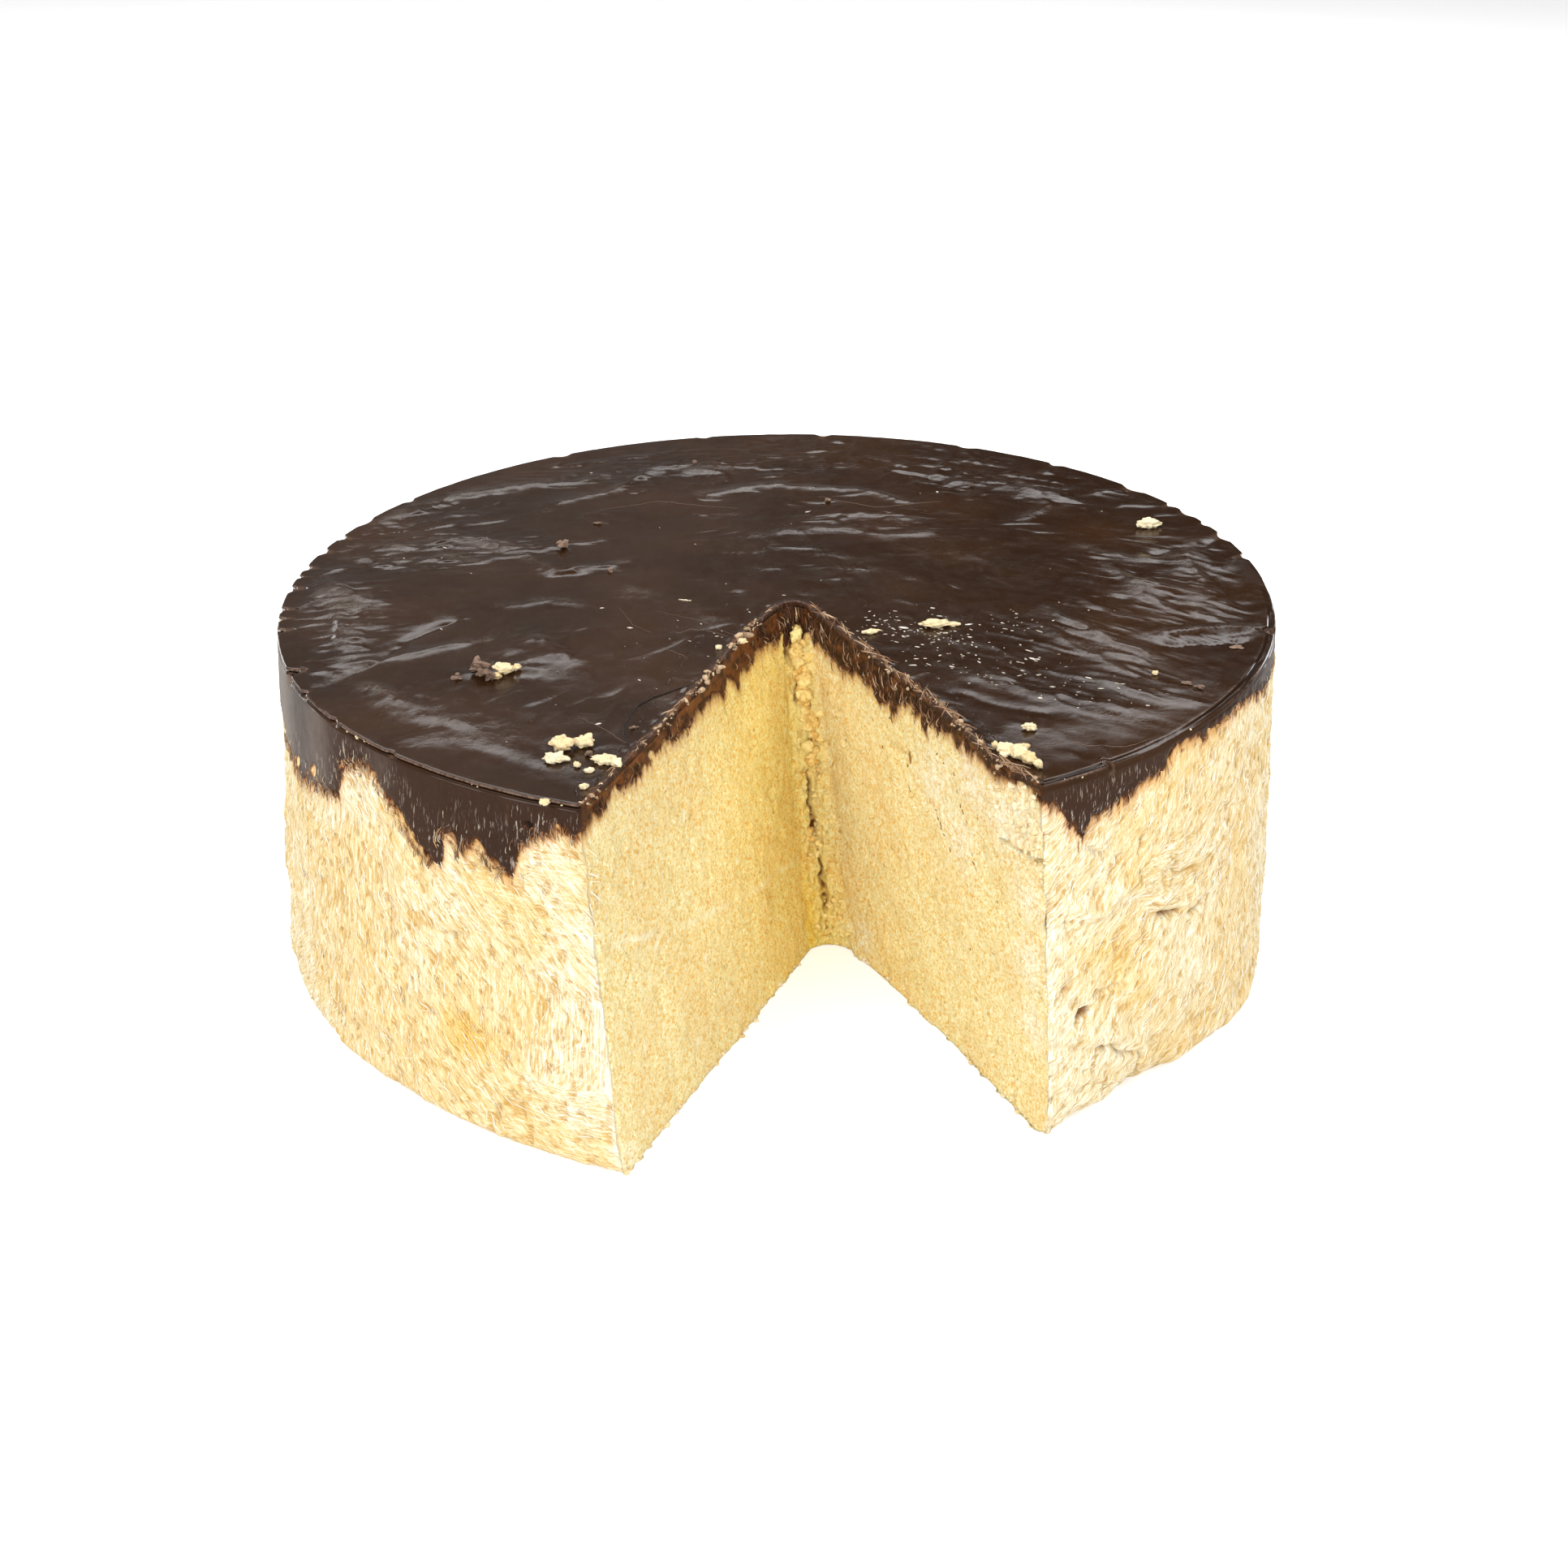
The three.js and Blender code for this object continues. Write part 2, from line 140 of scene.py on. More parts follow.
def cellValue(x, y, z, seed):
    mixed = (x * np.uint64(73856093)) ^ (y * np.uint64(19349663)) ^ (z * np.uint64(83492791))
    mixed = (mixed ^ np.uint64(seed * 2654435761 % 4294967296)) & np.uint64(0xFFFFFFFF)
    mixed = ((mixed ^ (mixed >> np.uint64(15))) * np.uint64(2246822519)) & np.uint64(0xFFFFFFFF)
    mixed = ((mixed ^ (mixed >> np.uint64(13))) * np.uint64(3266489917)) & np.uint64(0xFFFFFFFF)
    mixed = (mixed ^ (mixed >> np.uint64(16))) & np.uint64(0xFFFFFF)
    return mixed.astype(np.float64) / 8388607.5 - 1


# Smooth random values from -1 to 1, changing over `size` millimetres.
def noise(points, size, seed):
    scaled = np.asarray(points, float) / size
    low = np.floor(scaled)
    part = scaled - low
    fade = part * part * part * (part * (part * 6 - 15) + 10)
    cell = (low.astype(np.int64) & 0xFFFFFFFF).astype(np.uint64)
    total = np.zeros(scaled.shape[:-1])
    for corner in range(8):
        step = [(corner >> axis) & 1 for axis in range(3)]
        weight = np.ones(scaled.shape[:-1])
        for axis in range(3):
            weight = weight * (fade[..., axis] if step[axis] else 1 - fade[..., axis])
        place = [cell[..., axis] + np.uint64(step[axis]) for axis in range(3)]
        total += weight * cellValue(*place, seed)
    return total


# Finer and finer noise, each half as strong as the one before.
def fractal(points, size, seed, octaves=3):
    return sum(noise(points, size / 2 ** k, seed + 17 * k) * 0.5 ** k for k in range(octaves))


def flatPoints(u, v, layer=0.0):
    u, v = np.broadcast_arrays(u, v)
    return np.stack([u, v, np.full(u.shape, float(layer))], axis=-1)


# The form of the round.

def rimHeight(degrees):
    slope = halvaRound["topSlope"] * halvaRound["rimRadius"]
    return halvaRound["height"] + slope * np.cos(np.radians(degrees))


def topPlane(x):
    return halvaRound["height"] + halvaRound["topSlope"] * x


def footInset(degrees, z):
    size = halvaRound["edgeRound"] + halvaRound["wornRound"] * angleHump(
        degrees, halvaRound["wearAt"], halvaRound["wearWidth"])
    rise = np.clip(1 - z / size, 0, 1)
    return size * (1 - np.sqrt(1 - rise ** 2 * 0.999))


def sideRadius(degrees, z):
    shape = halvaRound
    drop = 1 - z / rimHeight(degrees)
    foot = shape["footRadius"] + shape["footShift"] * np.cos(np.radians(degrees))
    foot = foot + shape["bulge"] * angleHump(degrees, shape["bulgeAt"], shape["bulgeWidth"])
    worn = shape["wear"] * angleHump(degrees, shape["wearAt"], shape["wearWidth"])
    foot = foot - worn * smooth(1 - z / shape["wearHeight"])
    return blend(shape["rimRadius"], foot, drop) - footInset(degrees, z)


def wedgePoint(name, z):
    share = (z / halvaRound["height"])[..., None]
    return blend(np.array(cutWedge["foot" + name]), np.array(cutWedge["top" + name]), share)


def outerCorner(name, z):
    point = wedgePoint(name, z)
    degrees = np.degrees(np.arctan2(point[..., 1], point[..., 0]))
    return degrees, onCircle(degrees, sideRadius(degrees, z))


def innerCorner(side, z):
    width = blend(cutWedge["tearFoot"], cutWedge["tearTop"], z / halvaRound["height"]) / 2
    point = wedgePoint("Inner", z)
    return point + np.stack([side * width, np.full(z.shape, -cutWedge["tearStep"])], axis=-1)


# How far a cut face bows from a straight line, along its normal.
def faceBow(side, along, z):
    share = z / halvaRound["height"]
    top = smooth((share - 0.7) / 0.3)
    if side < 0:
        return -1.6 * hump(along, 0.17, 0.1) * top
    return 1.2 * (1 - share) * np.sin(math.pi * along) - 1.8 * hump(along, 0.84, 0.07) * top


def facePoint(side, along, z):
    corner = outerCorner("Left" if side < 0 else "Right", z)[1]
    start = innerCorner(side, z)
    run = corner - start
    length = np.linalg.norm(run, axis=-1, keepdims=True)
    out = np.stack([-run[..., 1], run[..., 0]], axis=-1) / length
    return start + run * along[..., None] + out * faceBow(side, along, z)[..., None]


# The columns run anticlockwise: from the right corner round the outside to the left corner,
# in along the left cut face, across the torn end, and out along the right cut face.
def columnPlan():
    outer, face, tear = meshDetail["outer"], meshDetail["face"], meshDetail["tear"]
    kind = np.repeat([0, 1, 2, 3], [outer, face, tear, face])
    share = np.concatenate([
        np.arange(outer) / outer, 1 - np.arange(face) / face,
        np.arange(tear) / tear, np.arange(face) / face])
    return kind, share


columnKind, columnShare = columnPlan()
columnCount = len(columnKind)
isOuter = columnKind == 0
isTear = columnKind == 2
cutColumns = np.where(isOuter, 0.0, 1.0)  # 1 on the cut and its torn end, 0 on the outside


# Where the surface stands in plan, for a height given for each column. z: rows by columns.
def outline(z):
    points = np.zeros(z.shape + (2,))
    degrees = np.zeros(z.shape)
    part = z[:, isOuter]
    first, last = outerCorner("Right", part)[0], outerCorner("Left", part)[0] + 360
    turned = blend(first, last, columnShare[isOuter])
    degrees[:, isOuter] = turned
    points[:, isOuter] = onCircle(turned, sideRadius(turned, part))
    for kind, side in ((1, -1), (3, 1)):
        chosen = columnKind == kind
        part = z[:, chosen]
        along = np.broadcast_to(columnShare[chosen], part.shape)
        points[:, chosen] = facePoint(side, along, part)
    part = z[:, isTear]
    across = np.broadcast_to(columnShare[isTear], part.shape)
    left, right = innerCorner(-1, part), innerCorner(1, part)
    points[:, isTear] = blend(left, right, across[..., None])
    points[:, isTear, 1] += cutWedge["tearStep"] * np.sin(math.pi * across) ** 0.6
    return points, degrees


# The same for one ring of columns.
def outlineAt(height):
    points, degrees = outline(np.broadcast_to(np.asarray(height, float), (1, columnCount)))
    return points[0], degrees[0]


planHeight = 60.0  # where distances and directions of the columns are measured


# Millimetres from each column to the nearer outer corner, along the outside or the cut face.
def cornerDistance():
    points = outlineAt(planHeight)[0]
    steps = np.linalg.norm(np.roll(points, -1, axis=0) - points, axis=1)
    walked = np.concatenate([[0], np.cumsum(steps)])
    total = walked[-1]
    left = walked[np.argmax(columnKind == 1)]
    here = walked[:-1]
    rightAway = np.minimum(here, total - here)
    return np.minimum(rightAway, np.abs(here - left)), here


cornerAway, columnWalk = cornerDistance()


# Directions in plan that point straight out of the surface, for each column.
def outwardPlan():
    points = outlineAt(planHeight)[0]
    tangent = np.roll(points, -1, axis=0) - np.roll(points, 1, axis=0)
    tangent /= np.linalg.norm(tangent, axis=1, keepdims=True)
    return np.stack([tangent[:, 1], -tangent[:, 0]], axis=1)


planNormals = outwardPlan()


def skirtDepth(degrees):
    cover = chocolateCover
    wrapped = wrap(degrees)
    arc = np.radians(wrapped) * halvaRound["rimRadius"]
    ragged = 0.45 * noise(flatPoints(arc, 0), 5, 3) + 0.6 * noise(flatPoints(arc, 5), 1.7, 4)
    ragged = ragged + 0.6 * noise(flatPoints(arc, 7), 1.1, 6)
    depth = cover["skirtDepth"] + 0.8 * noise(flatPoints(arc, 9), 22, 5)
    for start, end, deepest, rise, fall in cover["runs"]:
        run = smooth((wrapped - start) / rise) * smooth((end - wrapped) / fall)
        depth = np.maximum(depth, deepest * run)
    angles, depths = zip(*cover["frontEdge"])
    inFront = (wrapped > angles[0]) & (wrapped < angles[-1])
    depth = np.where(inFront, np.interp(wrapped, angles, depths), depth)
    return np.maximum(depth + ragged, 1.5)


def bandDepth(side, along):
    name = "left" if side < 0 else "right"
    shares, thickness = zip(*chocolateCover[name + "Band"])
    depth = np.interp(along, shares, thickness)
    for at, longer, width in chocolateCover[name + "Tails"]:
        depth = depth + longer * hump(along, at, width)
    return depth


# How far below the top the chocolate ends, for each column.
def coverDepth():
    degrees = outlineAt(halvaRound["height"])[1]
    walk = flatPoints(columnWalk, 0)
    ragged = 0.5 * noise(walk, 5, 7) + 0.6 * noise(walk, 1.5, 8)
    onCut = np.where(columnKind == 1, bandDepth(-1, columnShare), bandDepth(1, columnShare))
    onCut = np.where(isTear, bandDepth(1, np.zeros(columnCount)) + 1.5 * noise(walk, 2.2, 9), onCut)
    depth = np.where(isOuter, skirtDepth(degrees), np.maximum(onCut + ragged, 1.6))
    nearCorner = smooth(1 - cornerAway / 2.5)
    beside = 6  # columns to either side that are averaged
    padded = np.concatenate([depth[-beside:], depth, depth[:beside]])
    softened = np.convolve(padded, np.ones(2 * beside + 1) / (2 * beside + 1), "valid")
    return blend(depth, softened, nearCorner)


coverEdge = coverDepth()
topEdge = topPlane(outlineAt(halvaRound["height"])[0][:, 0])
halvaLap = 1.6  # how far the halva runs up behind the chocolate
halvaTop = topEdge - coverEdge + halvaLap
print("stage: plan of the round ready,", columnCount, "columns")

# The grain of the surfaces.

# How the pulled sugar fibres lie on the outside: angle, height, lean from level, anticlockwise.
fibreLeans = [
    (-155, 40, 92), (-143, 25, 98), (-137, 40, 94), (-131, 30, 108), (-127, 46, 120), (-121, 43, 150),
    (-114, 57, 166), (-111, 47, 150), (-113, 34, 96), (-118, 30, 100), (-124, 18, 130), (-117, 13, 155),
    (-110, 11, 172), (-135, 15, 116), (-111, 22, 70), (-56, 62, 60), (-50, 63, 62), (-43, 66, 78),
    (-35, 66, 50), (-26, 60, 84), (-47, 53, 148), (-42, 50, 178), (-37, 53, 42), (-33, 45, 52),
    (-52, 40, 44), (-50, 28, 56), (-57, 22, 66), (-42, 30, 74), (-33, 30, 80), (-20, 40, 88), (-40, 13, 54),
    (-29, 14, 62),
]
fibreField = {"reach": 8.0, "otherLean": 80, "otherSwing": 75, "otherSize": 34, "otherWeight": 0.12}


def arcAt(degrees):
    return np.radians(degrees) * halvaRound["footRadius"]


# Lean of the fibres at a place, as the cosine and sine of twice the angle.
def fibreLean(arc, z):
    field = fibreField
    swing = field["otherSwing"] * noise(flatPoints(arc, z), field["otherSize"], 21)
    other = np.radians(field["otherLean"] + swing)
    cosSum, sinSum = field["otherWeight"] * np.cos(2 * other), field["otherWeight"] * np.sin(2 * other)
    lap = arcAt(360)
    for at, height, lean in fibreLeans:
        away = (arc - arcAt(at) + lap / 2) % lap - lap / 2
        weight = np.exp(-0.5 * (away ** 2 + (z - height) ** 2) / field["reach"] ** 2)
        cosSum = cosSum + weight * math.cos(2 * math.radians(lean))
        sinSum = sinSum + weight * math.sin(2 * math.radians(lean))
    size = np.hypot(cosSum, sinSum) + 1e-6
    return cosSum / size, sinSum / size


# Patches where the outside is more yellow: angle, height, half width, half height, strength.
ochrePatches = [
    (-121, 21, 9, 7, 1), (-116, 13, 7, 4, 0.5), (-137, 34, 6, 5, 0.6), (-147, 38, 5, 12, 0.45),
    (-128, 42, 5, 3, 0.5), (-52, 36, 6, 8, 0.7), (-49, 26, 5, 5, 0.7), (-55, 40, 5, 3, 0.8),
    (-37, 10, 7, 4, 0.7), (-24, 12, 6, 7, 0.5), (-35, 63, 5, 4, 0.4), (-16, 50, 3, 5, 0.6),
    (-167, 38, 22, 28, 0.66), (-2, 38, 18, 24, 0.42), (-40, 62, 16, 8, 0.42),
]


def ochreAt(degrees, z):
    place = flatPoints(arcAt(degrees), z)
    total = 0.5 * smooth(0.5 + 1.4 * fractal(place, 20, 26, 2))
    for at, height, halfWide, halfHigh, strength in ochrePatches:
        away = arcAt(wrap(degrees - at)) / halfWide
        rise = (z - height) / halfHigh
        total = np.maximum(total, strength * np.exp(-0.6 * (away ** 2 + rise ** 2)))
    return total


# Holes in the outside: angle, height, half width, half height, depth, tilt.
sidePits = [
    (-57, 27.6, 2.1, 1.6, 3, 35), (-59.4, 34.5, 0.8, 0.7, 1.2, 0), (-63, 36.8, 0.7, 0.6, 1, 0),
    (-49.9, 59.2, 0.7, 1.5, 2, -20), (-53, 17, 1.9, 1, 2.6, -30), (-47.4, 3, 2.6, 3, 2.4, 0),
    (-19.6, 49, 1.5, 1.3, 1.4, 10), (-56.2, 13.8, 0.9, 0.7, 1, 0), (-55.4, 31.4, 1, 0.7, 1.4, 0),
    (-123.9, 41.9, 1.1, 0.5, 1.4, 10), (-117.3, 58.6, 1.2, 0.7, 1.4, 40), (-136.4, 18.8, 0.5, 0.5, 1, 0),
    (-107.7, 53.5, 0.5, 0.5, 0.9, 0), (-107.5, 49.8, 0.6, 0.4, 0.9, 0), (-121.6, 44.2, 0.5, 0.4, 0.8, 0),
    (-115.5, 12.4, 1.2, 0.5, 1, 12), (-131, 30, 0.6, 0.4, 0.8, 0), (-111.5, 35, 0.9, 0.4, 0.8, 20),
    (26, 55, 1.6, 1.1, 2, 0), (54, 46, 2, 1.2, 2.4, 20), (95, 50, 1.2, 1, 2, 0),
    (112, 38, 1.6, 1.3, 2.4, 0), (172, 40, 1.2, 0.9, 1.8, 0), (200, 44, 1, 0.8, 1.4, 0),
]

# Cracks in the outside: points as angle and height, depth, half width.
sideCracks = [
    ([(-58.2, 65), (-55.2, 61.6), (-53.8, 60.6)], 0.9, 0.4),
    ([(-46.6, 43.2), (-44.8, 41.4), (-42.4, 39.5), (-39.8, 39), (-37.1, 39.2), (-32.9, 41)], 2.4, 0.55),
    ([(-46.5, 52.6), (-44.5, 50.5), (-41.7, 48.8), (-39, 47.2), (-36.9, 47.6)], 0.7, 0.42),
    ([(-55.1, 31.1), (-51.6, 31.3), (-50.7, 32.5)], 0.8, 0.36),
    ([(-59.9, 21.5), (-57.1, 18.9), (-53.2, 17.2)], 0.4, 0.36),
    ([(-54.4, 17.4), (-51.9, 15.4), (-50.4, 12.8), (-47.7, 11.2), (-46.9, 8), (-48, 4)], 1.5, 0.4),
    ([(-56.5, 13.5), (-55, 10.9), (-53.5, 7.5)], 0.6, 0.4), ([(-34.5, 56.8), (-28.8, 53.6)], 0.5, 0.36),
    ([(-59.5, 55.7), (-59.2, 51.3), (-59.1, 44.2), (-58.9, 36.8)], 0.6, 0.3),
    ([(-117.9, 57.9), (-116.8, 59.6), (-116.2, 60.4)], 0.9, 0.42),
    ([(-124.4, 41.6), (-123.1, 41.8), (-121.5, 44)], 0.8, 0.4), ([(-27.8, 42.4), (-24.5, 40.5)], 0.5, 0.36),
    ([(-113.3, 23.2), (-110.5, 27.2), (-108.5, 28.9)], 0.5, 0.4),
    ([(4, 33), (12, 31), (19, 27), (24, 28)], 1.3, 0.45),
    ([(66, 20), (74, 24), (82, 25), (88, 23)], 1.4, 0.45),
    ([(126, 48), (131, 51), (138, 52)], 1.1, 0.42), ([(146, 20), (153, 17), (161, 19)], 1.5, 0.45),
    ([(182, 15), (188, 14), (194, 17)], 1, 0.42),
]

# Raised folds of pulled halva: points as angle and height, height, half width.
sideFolds = [
    ([(-59.4, 52.1), (-56, 48.7), (-54.7, 49.5), (-53.4, 52.1), (-50.9, 52.6), (-48.2, 48.4),
      (-47.2, 45.6)], 1.4, 1.2),
    ([(-57, 50.6), (-52, 46), (-48, 38), (-47, 30)], 0.5, 1.6),
    ([(-46, 46), (-42.5, 42), (-38, 41.4)], 1, 1.2), ([(-59, 13), (-55, 11), (-51, 7)], 0.8, 1.1),
    ([(-58, 23), (-55, 20.6), (-51, 18.6), (-48, 14)], 1.1, 1.3),
    ([(-58, 8), (-54, 5.5), (-51, 3)], 0.7, 1), ([(-60.6, 54), (-60.4, 44), (-60.2, 34)], 0.5, 1.2),
    ([(-124.4, 61.6), (-123.2, 64.4)], 1, 1.1), ([(-120.9, 61.4), (-119.9, 64.6)], 1, 1.1),
    ([(-119, 15), (-112, 12), (-106, 14)], 0.3, 1.4), ([(20, 29), (10, 35), (0, 34)], 0.6, 1.4),
    ([(70, 27), (80, 29), (90, 25)], 0.6, 1.4), ([(144, 23), (153, 21), (163, 23)], 0.7, 1.3),
]


# Millimetres from places to a line of points, both in one plane.
def lineAway(x, y, line):
    best = np.full(np.broadcast(x, y).shape, 1e9)
    for (ax, ay), (bx, by) in zip(line[:-1], line[1:]):
        run = (bx - ax) ** 2 + (by - ay) ** 2
        share = np.clip(((x - ax) * (bx - ax) + (y - ay) * (by - ay)) / run, 0, 1)
        best = np.minimum(best, np.hypot(x - ax - share * (bx - ax), y - ay - share * (by - ay)))
    return best


def sideLineAway(degrees, z, line):
    return lineAway(arcAt(wrap(degrees)), z, [(arcAt(angle), height) for angle, height in line])


def pitDepth(degrees, z):
    degrees, z = np.broadcast_arrays(degrees, z)
    place = flatPoints(arcAt(degrees), z)
    frayed = 0.3 * noise(place, 1.3, 35)
    total = np.zeros(z.shape)
    for at, height, halfWide, halfHigh, deep, tilt in sidePits:
        u, v = alongAcross(arcAt(wrap(degrees - at)), z - height, math.radians(tilt))
        away = np.hypot(u / halfWide, v / halfHigh)
        total = np.maximum(total, deep * smooth((1.25 + frayed - away) / 0.6))
    bent = 0.8 * frayed + 1.1 * noise(place, 5, 38)
    broken = smooth(0.85 + 1.2 * noise(place, 4, 39))
    for line, deep, halfWide in sideCracks:
        away = sideLineAway(degrees, z + bent, line)
        total = np.maximum(total, deep * broken * smooth((2.0 + frayed - away / halfWide) / 1.4))
    return total


sideRelief = {"swell": 0.5, "lumps": 0.38, "pores": 0.42, "grain": 0.16}


def sidePores(place):
    crowd = 0.12 * noise(place, 14, 36)
    return smooth((noise(place * (1, 0.75, 1), 1.9, 33) - 0.4 + crowd) / 0.25)


# Height of the outside above its plain form.
def sideHeight(degrees, z):
    degrees, z = np.broadcast_arrays(degrees, z)
    place = flatPoints(arcAt(degrees), z)
    relief = sideRelief
    height = relief["swell"] * fractal(place, 26, 31, 2) + relief["lumps"] * fractal(place, 7, 32, 2)
    height = height - relief["pores"] * sidePores(place) + relief["grain"] * fractal(place, 1.6, 34, 2)
    for line, high, halfWide in sideFolds:
        height = height + high * hump(sideLineAway(degrees, z, line), 0, halfWide)
    calm = smooth((rimHeight(degrees) - z) / 6)
    return height * (0.3 + 0.7 * calm) - pitDepth(degrees, z)


cutRelief = {"saw": 0.16, "grain": 0.22, "lumps": 0.35, "holes": 0.5}


# Height of a cut face above its plain form, from places in the round.
def cutHeight(points):
    height = cutRelief["lumps"] * noise(points, 9, 41)
    height = height + cutRelief["grain"] * fractal(points, 2.2, 42, 2)
    sawn = points[..., 2] * 0.8 + points[..., 1] * 0.6
    height = height + cutRelief["saw"] * noise(flatPoints(sawn / 1.8, points[..., 1] / 30), 1, 44)
    holes = smooth((noise(points, 2.6, 45) - 0.52) / 0.2)
    return height - cutRelief["holes"] * holes


# The torn inner end: lumps in its upper part, nubs all over, and a crack down the lower part.
tearRelief = {
    "lump": 2.3, "lumpSize": 3.2, "nub": 1.1, "lumpFrom": 0.5,
    "crack": 2.6, "crackAt": 0.42, "crackWidth": 0.026,
}


# Rounded lumps with sharp creases between them, from 0 to about 1.
def billow(points, size, seed):
    return 1.5 * np.abs(noise(points, size, seed))


def tearHeight(points, across, share):
    relief = tearRelief
    upper = smooth((share - relief["lumpFrom"]) / 0.06) * smooth((0.94 - share) / 0.04)
    inside = np.sin(math.pi * across)
    lump = billow(points, relief["lumpSize"], 51) + 0.5 * billow(points, relief["lumpSize"] / 2, 52)
    lump = relief["lump"] * (lump - 0.1) * inside ** 0.6 * (0.14 + 0.86 * upper)
    nubs = relief["nub"] * (billow(points, 1.5, 55) + 0.5 * noise(points, 0.8, 56)) * inside ** 0.5
    height = flatPoints(share * halvaRound["height"], 0)
    wander = relief["crackAt"] + 0.1 * noise(height, 9, 53) + 0.04 * noise(height, 2.2, 57)
    crack = hump(across, wander, relief["crackWidth"] * (1.1 + noise(height, 4, 54)))
    slit = hump(across, 0.14, 0.05) * smooth((share - 0.8) / 0.04)
    deep = np.maximum(crack * (1 - upper) * smooth((share - 0.06) * 12) * smooth((0.56 - share) * 20), slit)
    return lump + nubs - relief["crack"] * deep


# Meshes.

def gridNormals(points):
    aroundStep = np.roll(points, -1, axis=1) - np.roll(points, 1, axis=1)
    upStep = np.empty_like(points)
    upStep[1:-1] = points[2:] - points[:-2]
    upStep[0] = points[1] - points[0]
    upStep[-1] = points[-1] - points[-2]
    normals = np.cross(aroundStep, upStep)
    return normals / (np.linalg.norm(normals, axis=-1, keepdims=True) + 1e-9)


# A closed mesh from rings of points, with its first and last ring fanned to a centre point.
def ringMesh(name, rings, lowCentre, highCentre, fields):
    rows, columns = rings.shape[:2]
    points = np.concatenate([rings.reshape(-1, 3), [lowCentre, highCentre]])
    corner = np.arange(rows * columns).reshape(rows, columns)
    beside = np.roll(corner, -1, axis=1)
    walls = np.stack([corner[:-1], beside[:-1], beside[1:], corner[1:]], axis=-1).reshape(-1, 4)
    low, high = rows * columns, rows * columns + 1
    lowFan = np.stack([np.full(columns, low), beside[0], corner[0]], axis=-1)
    highFan = np.stack([np.full(columns, high), corner[-1], beside[-1]], axis=-1)
    fans = np.concatenate([lowFan, highFan])
    mesh = newMesh(name, points, [walls, fans])
    for field, values in fields.items():
        values = values.reshape(rows * columns, -1)
        addField(mesh, field, np.concatenate([values, np.zeros((2, values.shape[1]))]))
    return addObject(name, mesh)


def newMesh(name, points, faceGroups):
    mesh = bpy.data.meshes.new(name)
    mesh.vertices.add(len(points))
    mesh.vertices.foreach_set("co", (np.asarray(points) * mm).astype(np.float32).ravel())
    loops = np.concatenate([group.ravel() for group in faceGroups])
    sizes = np.concatenate([np.full(len(group), group.shape[1]) for group in faceGroups])
    mesh.loops.add(len(loops))
    mesh.loops.foreach_set("vertex_index", loops.astype(np.int32))
    mesh.polygons.add(len(sizes))
    mesh.polygons.foreach_set("loop_start", np.concatenate([[0], np.cumsum(sizes)[:-1]]).astype(np.int32))
    mesh.polygons.foreach_set("use_smooth", np.ones(len(sizes), bool))
    mesh.update(calc_edges=True)
    mesh.validate()
    return mesh


def addField(mesh, field, values):
    width = values.shape[1]
    kind = "FLOAT" if width == 1 else "FLOAT_VECTOR"
    layer = mesh.attributes.new(field, kind, "POINT")
    layer.data.foreach_set("value" if width == 1 else "vector", values.astype(np.float32).ravel())


def addObject(name, mesh):
    thing = bpy.data.objects.new(name, mesh)
    bpy.context.scene.collection.objects.link(thing)
    return thing


# A piece of one material that rides on the round.
def addPiece(name, mesh, material, count):
    mesh.materials.append(material)
    piece = addObject(name, mesh)
    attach(piece, "root")
    print("stage:", name, count)
    return piece


# The halva.

# Moves plan points inwards, less near the outer corners so that the columns never cross.
def insetPlan(plan, amount, extra=0.0):
    reach = np.minimum(amount, 0.3 + extra + 0.7 * cornerAway)
    return plan - planNormals * reach[:, None]


# Where the cut faces are crumbled instead of smooth: a place, and how far it reaches.
crumbledPlaces = [
    ((45, -86, 66), 9), ((38, -75, 68), 7), ((30, -62, 60), 8), ((35, -70, 52), 7), ((47, -92, 70), 7),
    ((50, -93, 38), 6), ((51, -93, 24), 5), ((49, -92, 52), 5), ((-28, -108, 3), 4), ((18, -34, 6), 6),
    ((-12, -62, 8), 4),
]

# Cracks in the right cut face: two ends in the round, depth, half width.
faceCracks = [
    ((43.5, -84, 59.8), (49.5, -95.5, 61.5), 1.4, 0.35), ((46.5, -90, 37), (51.6, -95, 33), 0.9, 0.4),
    ((47, -91, 24), (49, -93, 20), 0.8, 0.35),
]


def crumbledAt(points):
    total = np.zeros(points.shape[:-1])
    for place, reach in crumbledPlaces:
        away = np.linalg.norm(points - np.array(place), axis=-1)
        total = np.maximum(total, np.exp(-0.5 * (away / reach * 1.6) ** 2))
    return total


def faceCrackDepth(points):
    total = np.zeros(points.shape[:-1])
    frayed = 0.7 * noise(points, 2.0, 63)
    for start, end, deep, halfWide in faceCracks:
        start, end = np.array(start), np.array(end)
        run = end - start
        share = np.clip(((points - start) @ run) / (run @ run), 0, 1)
        nearest = start + share[..., None] * run
        away = np.abs(points[..., 2] + frayed - nearest[..., 2]) + 0.3 * np.hypot(
            points[..., 0] - nearest[..., 0], points[..., 1] - nearest[..., 1])
        total = np.maximum(total, deep * smooth((2 - away / halfWide) / 1.4))
    return total


# Pale marks on the left cut face: a line left by the knife and flecks, as share of the face and height.
knifeLine = [(0.993, 44.9), (0.923, 45.3), (0.757, 39.2), (0.578, 33.2), (0.275, 26), (0, 21.5)]
paleFlecks = [
    (0.304, 22.9), (0.499, 48.5), (0.583, 55.4), (0.889, 44.8), (0.763, 37), (0.617, 8.7), (0.416, 13.4),
    (0.7, 61), (0.35, 36), (0.85, 20), (0.55, 24),
]
faceLength = 92.0


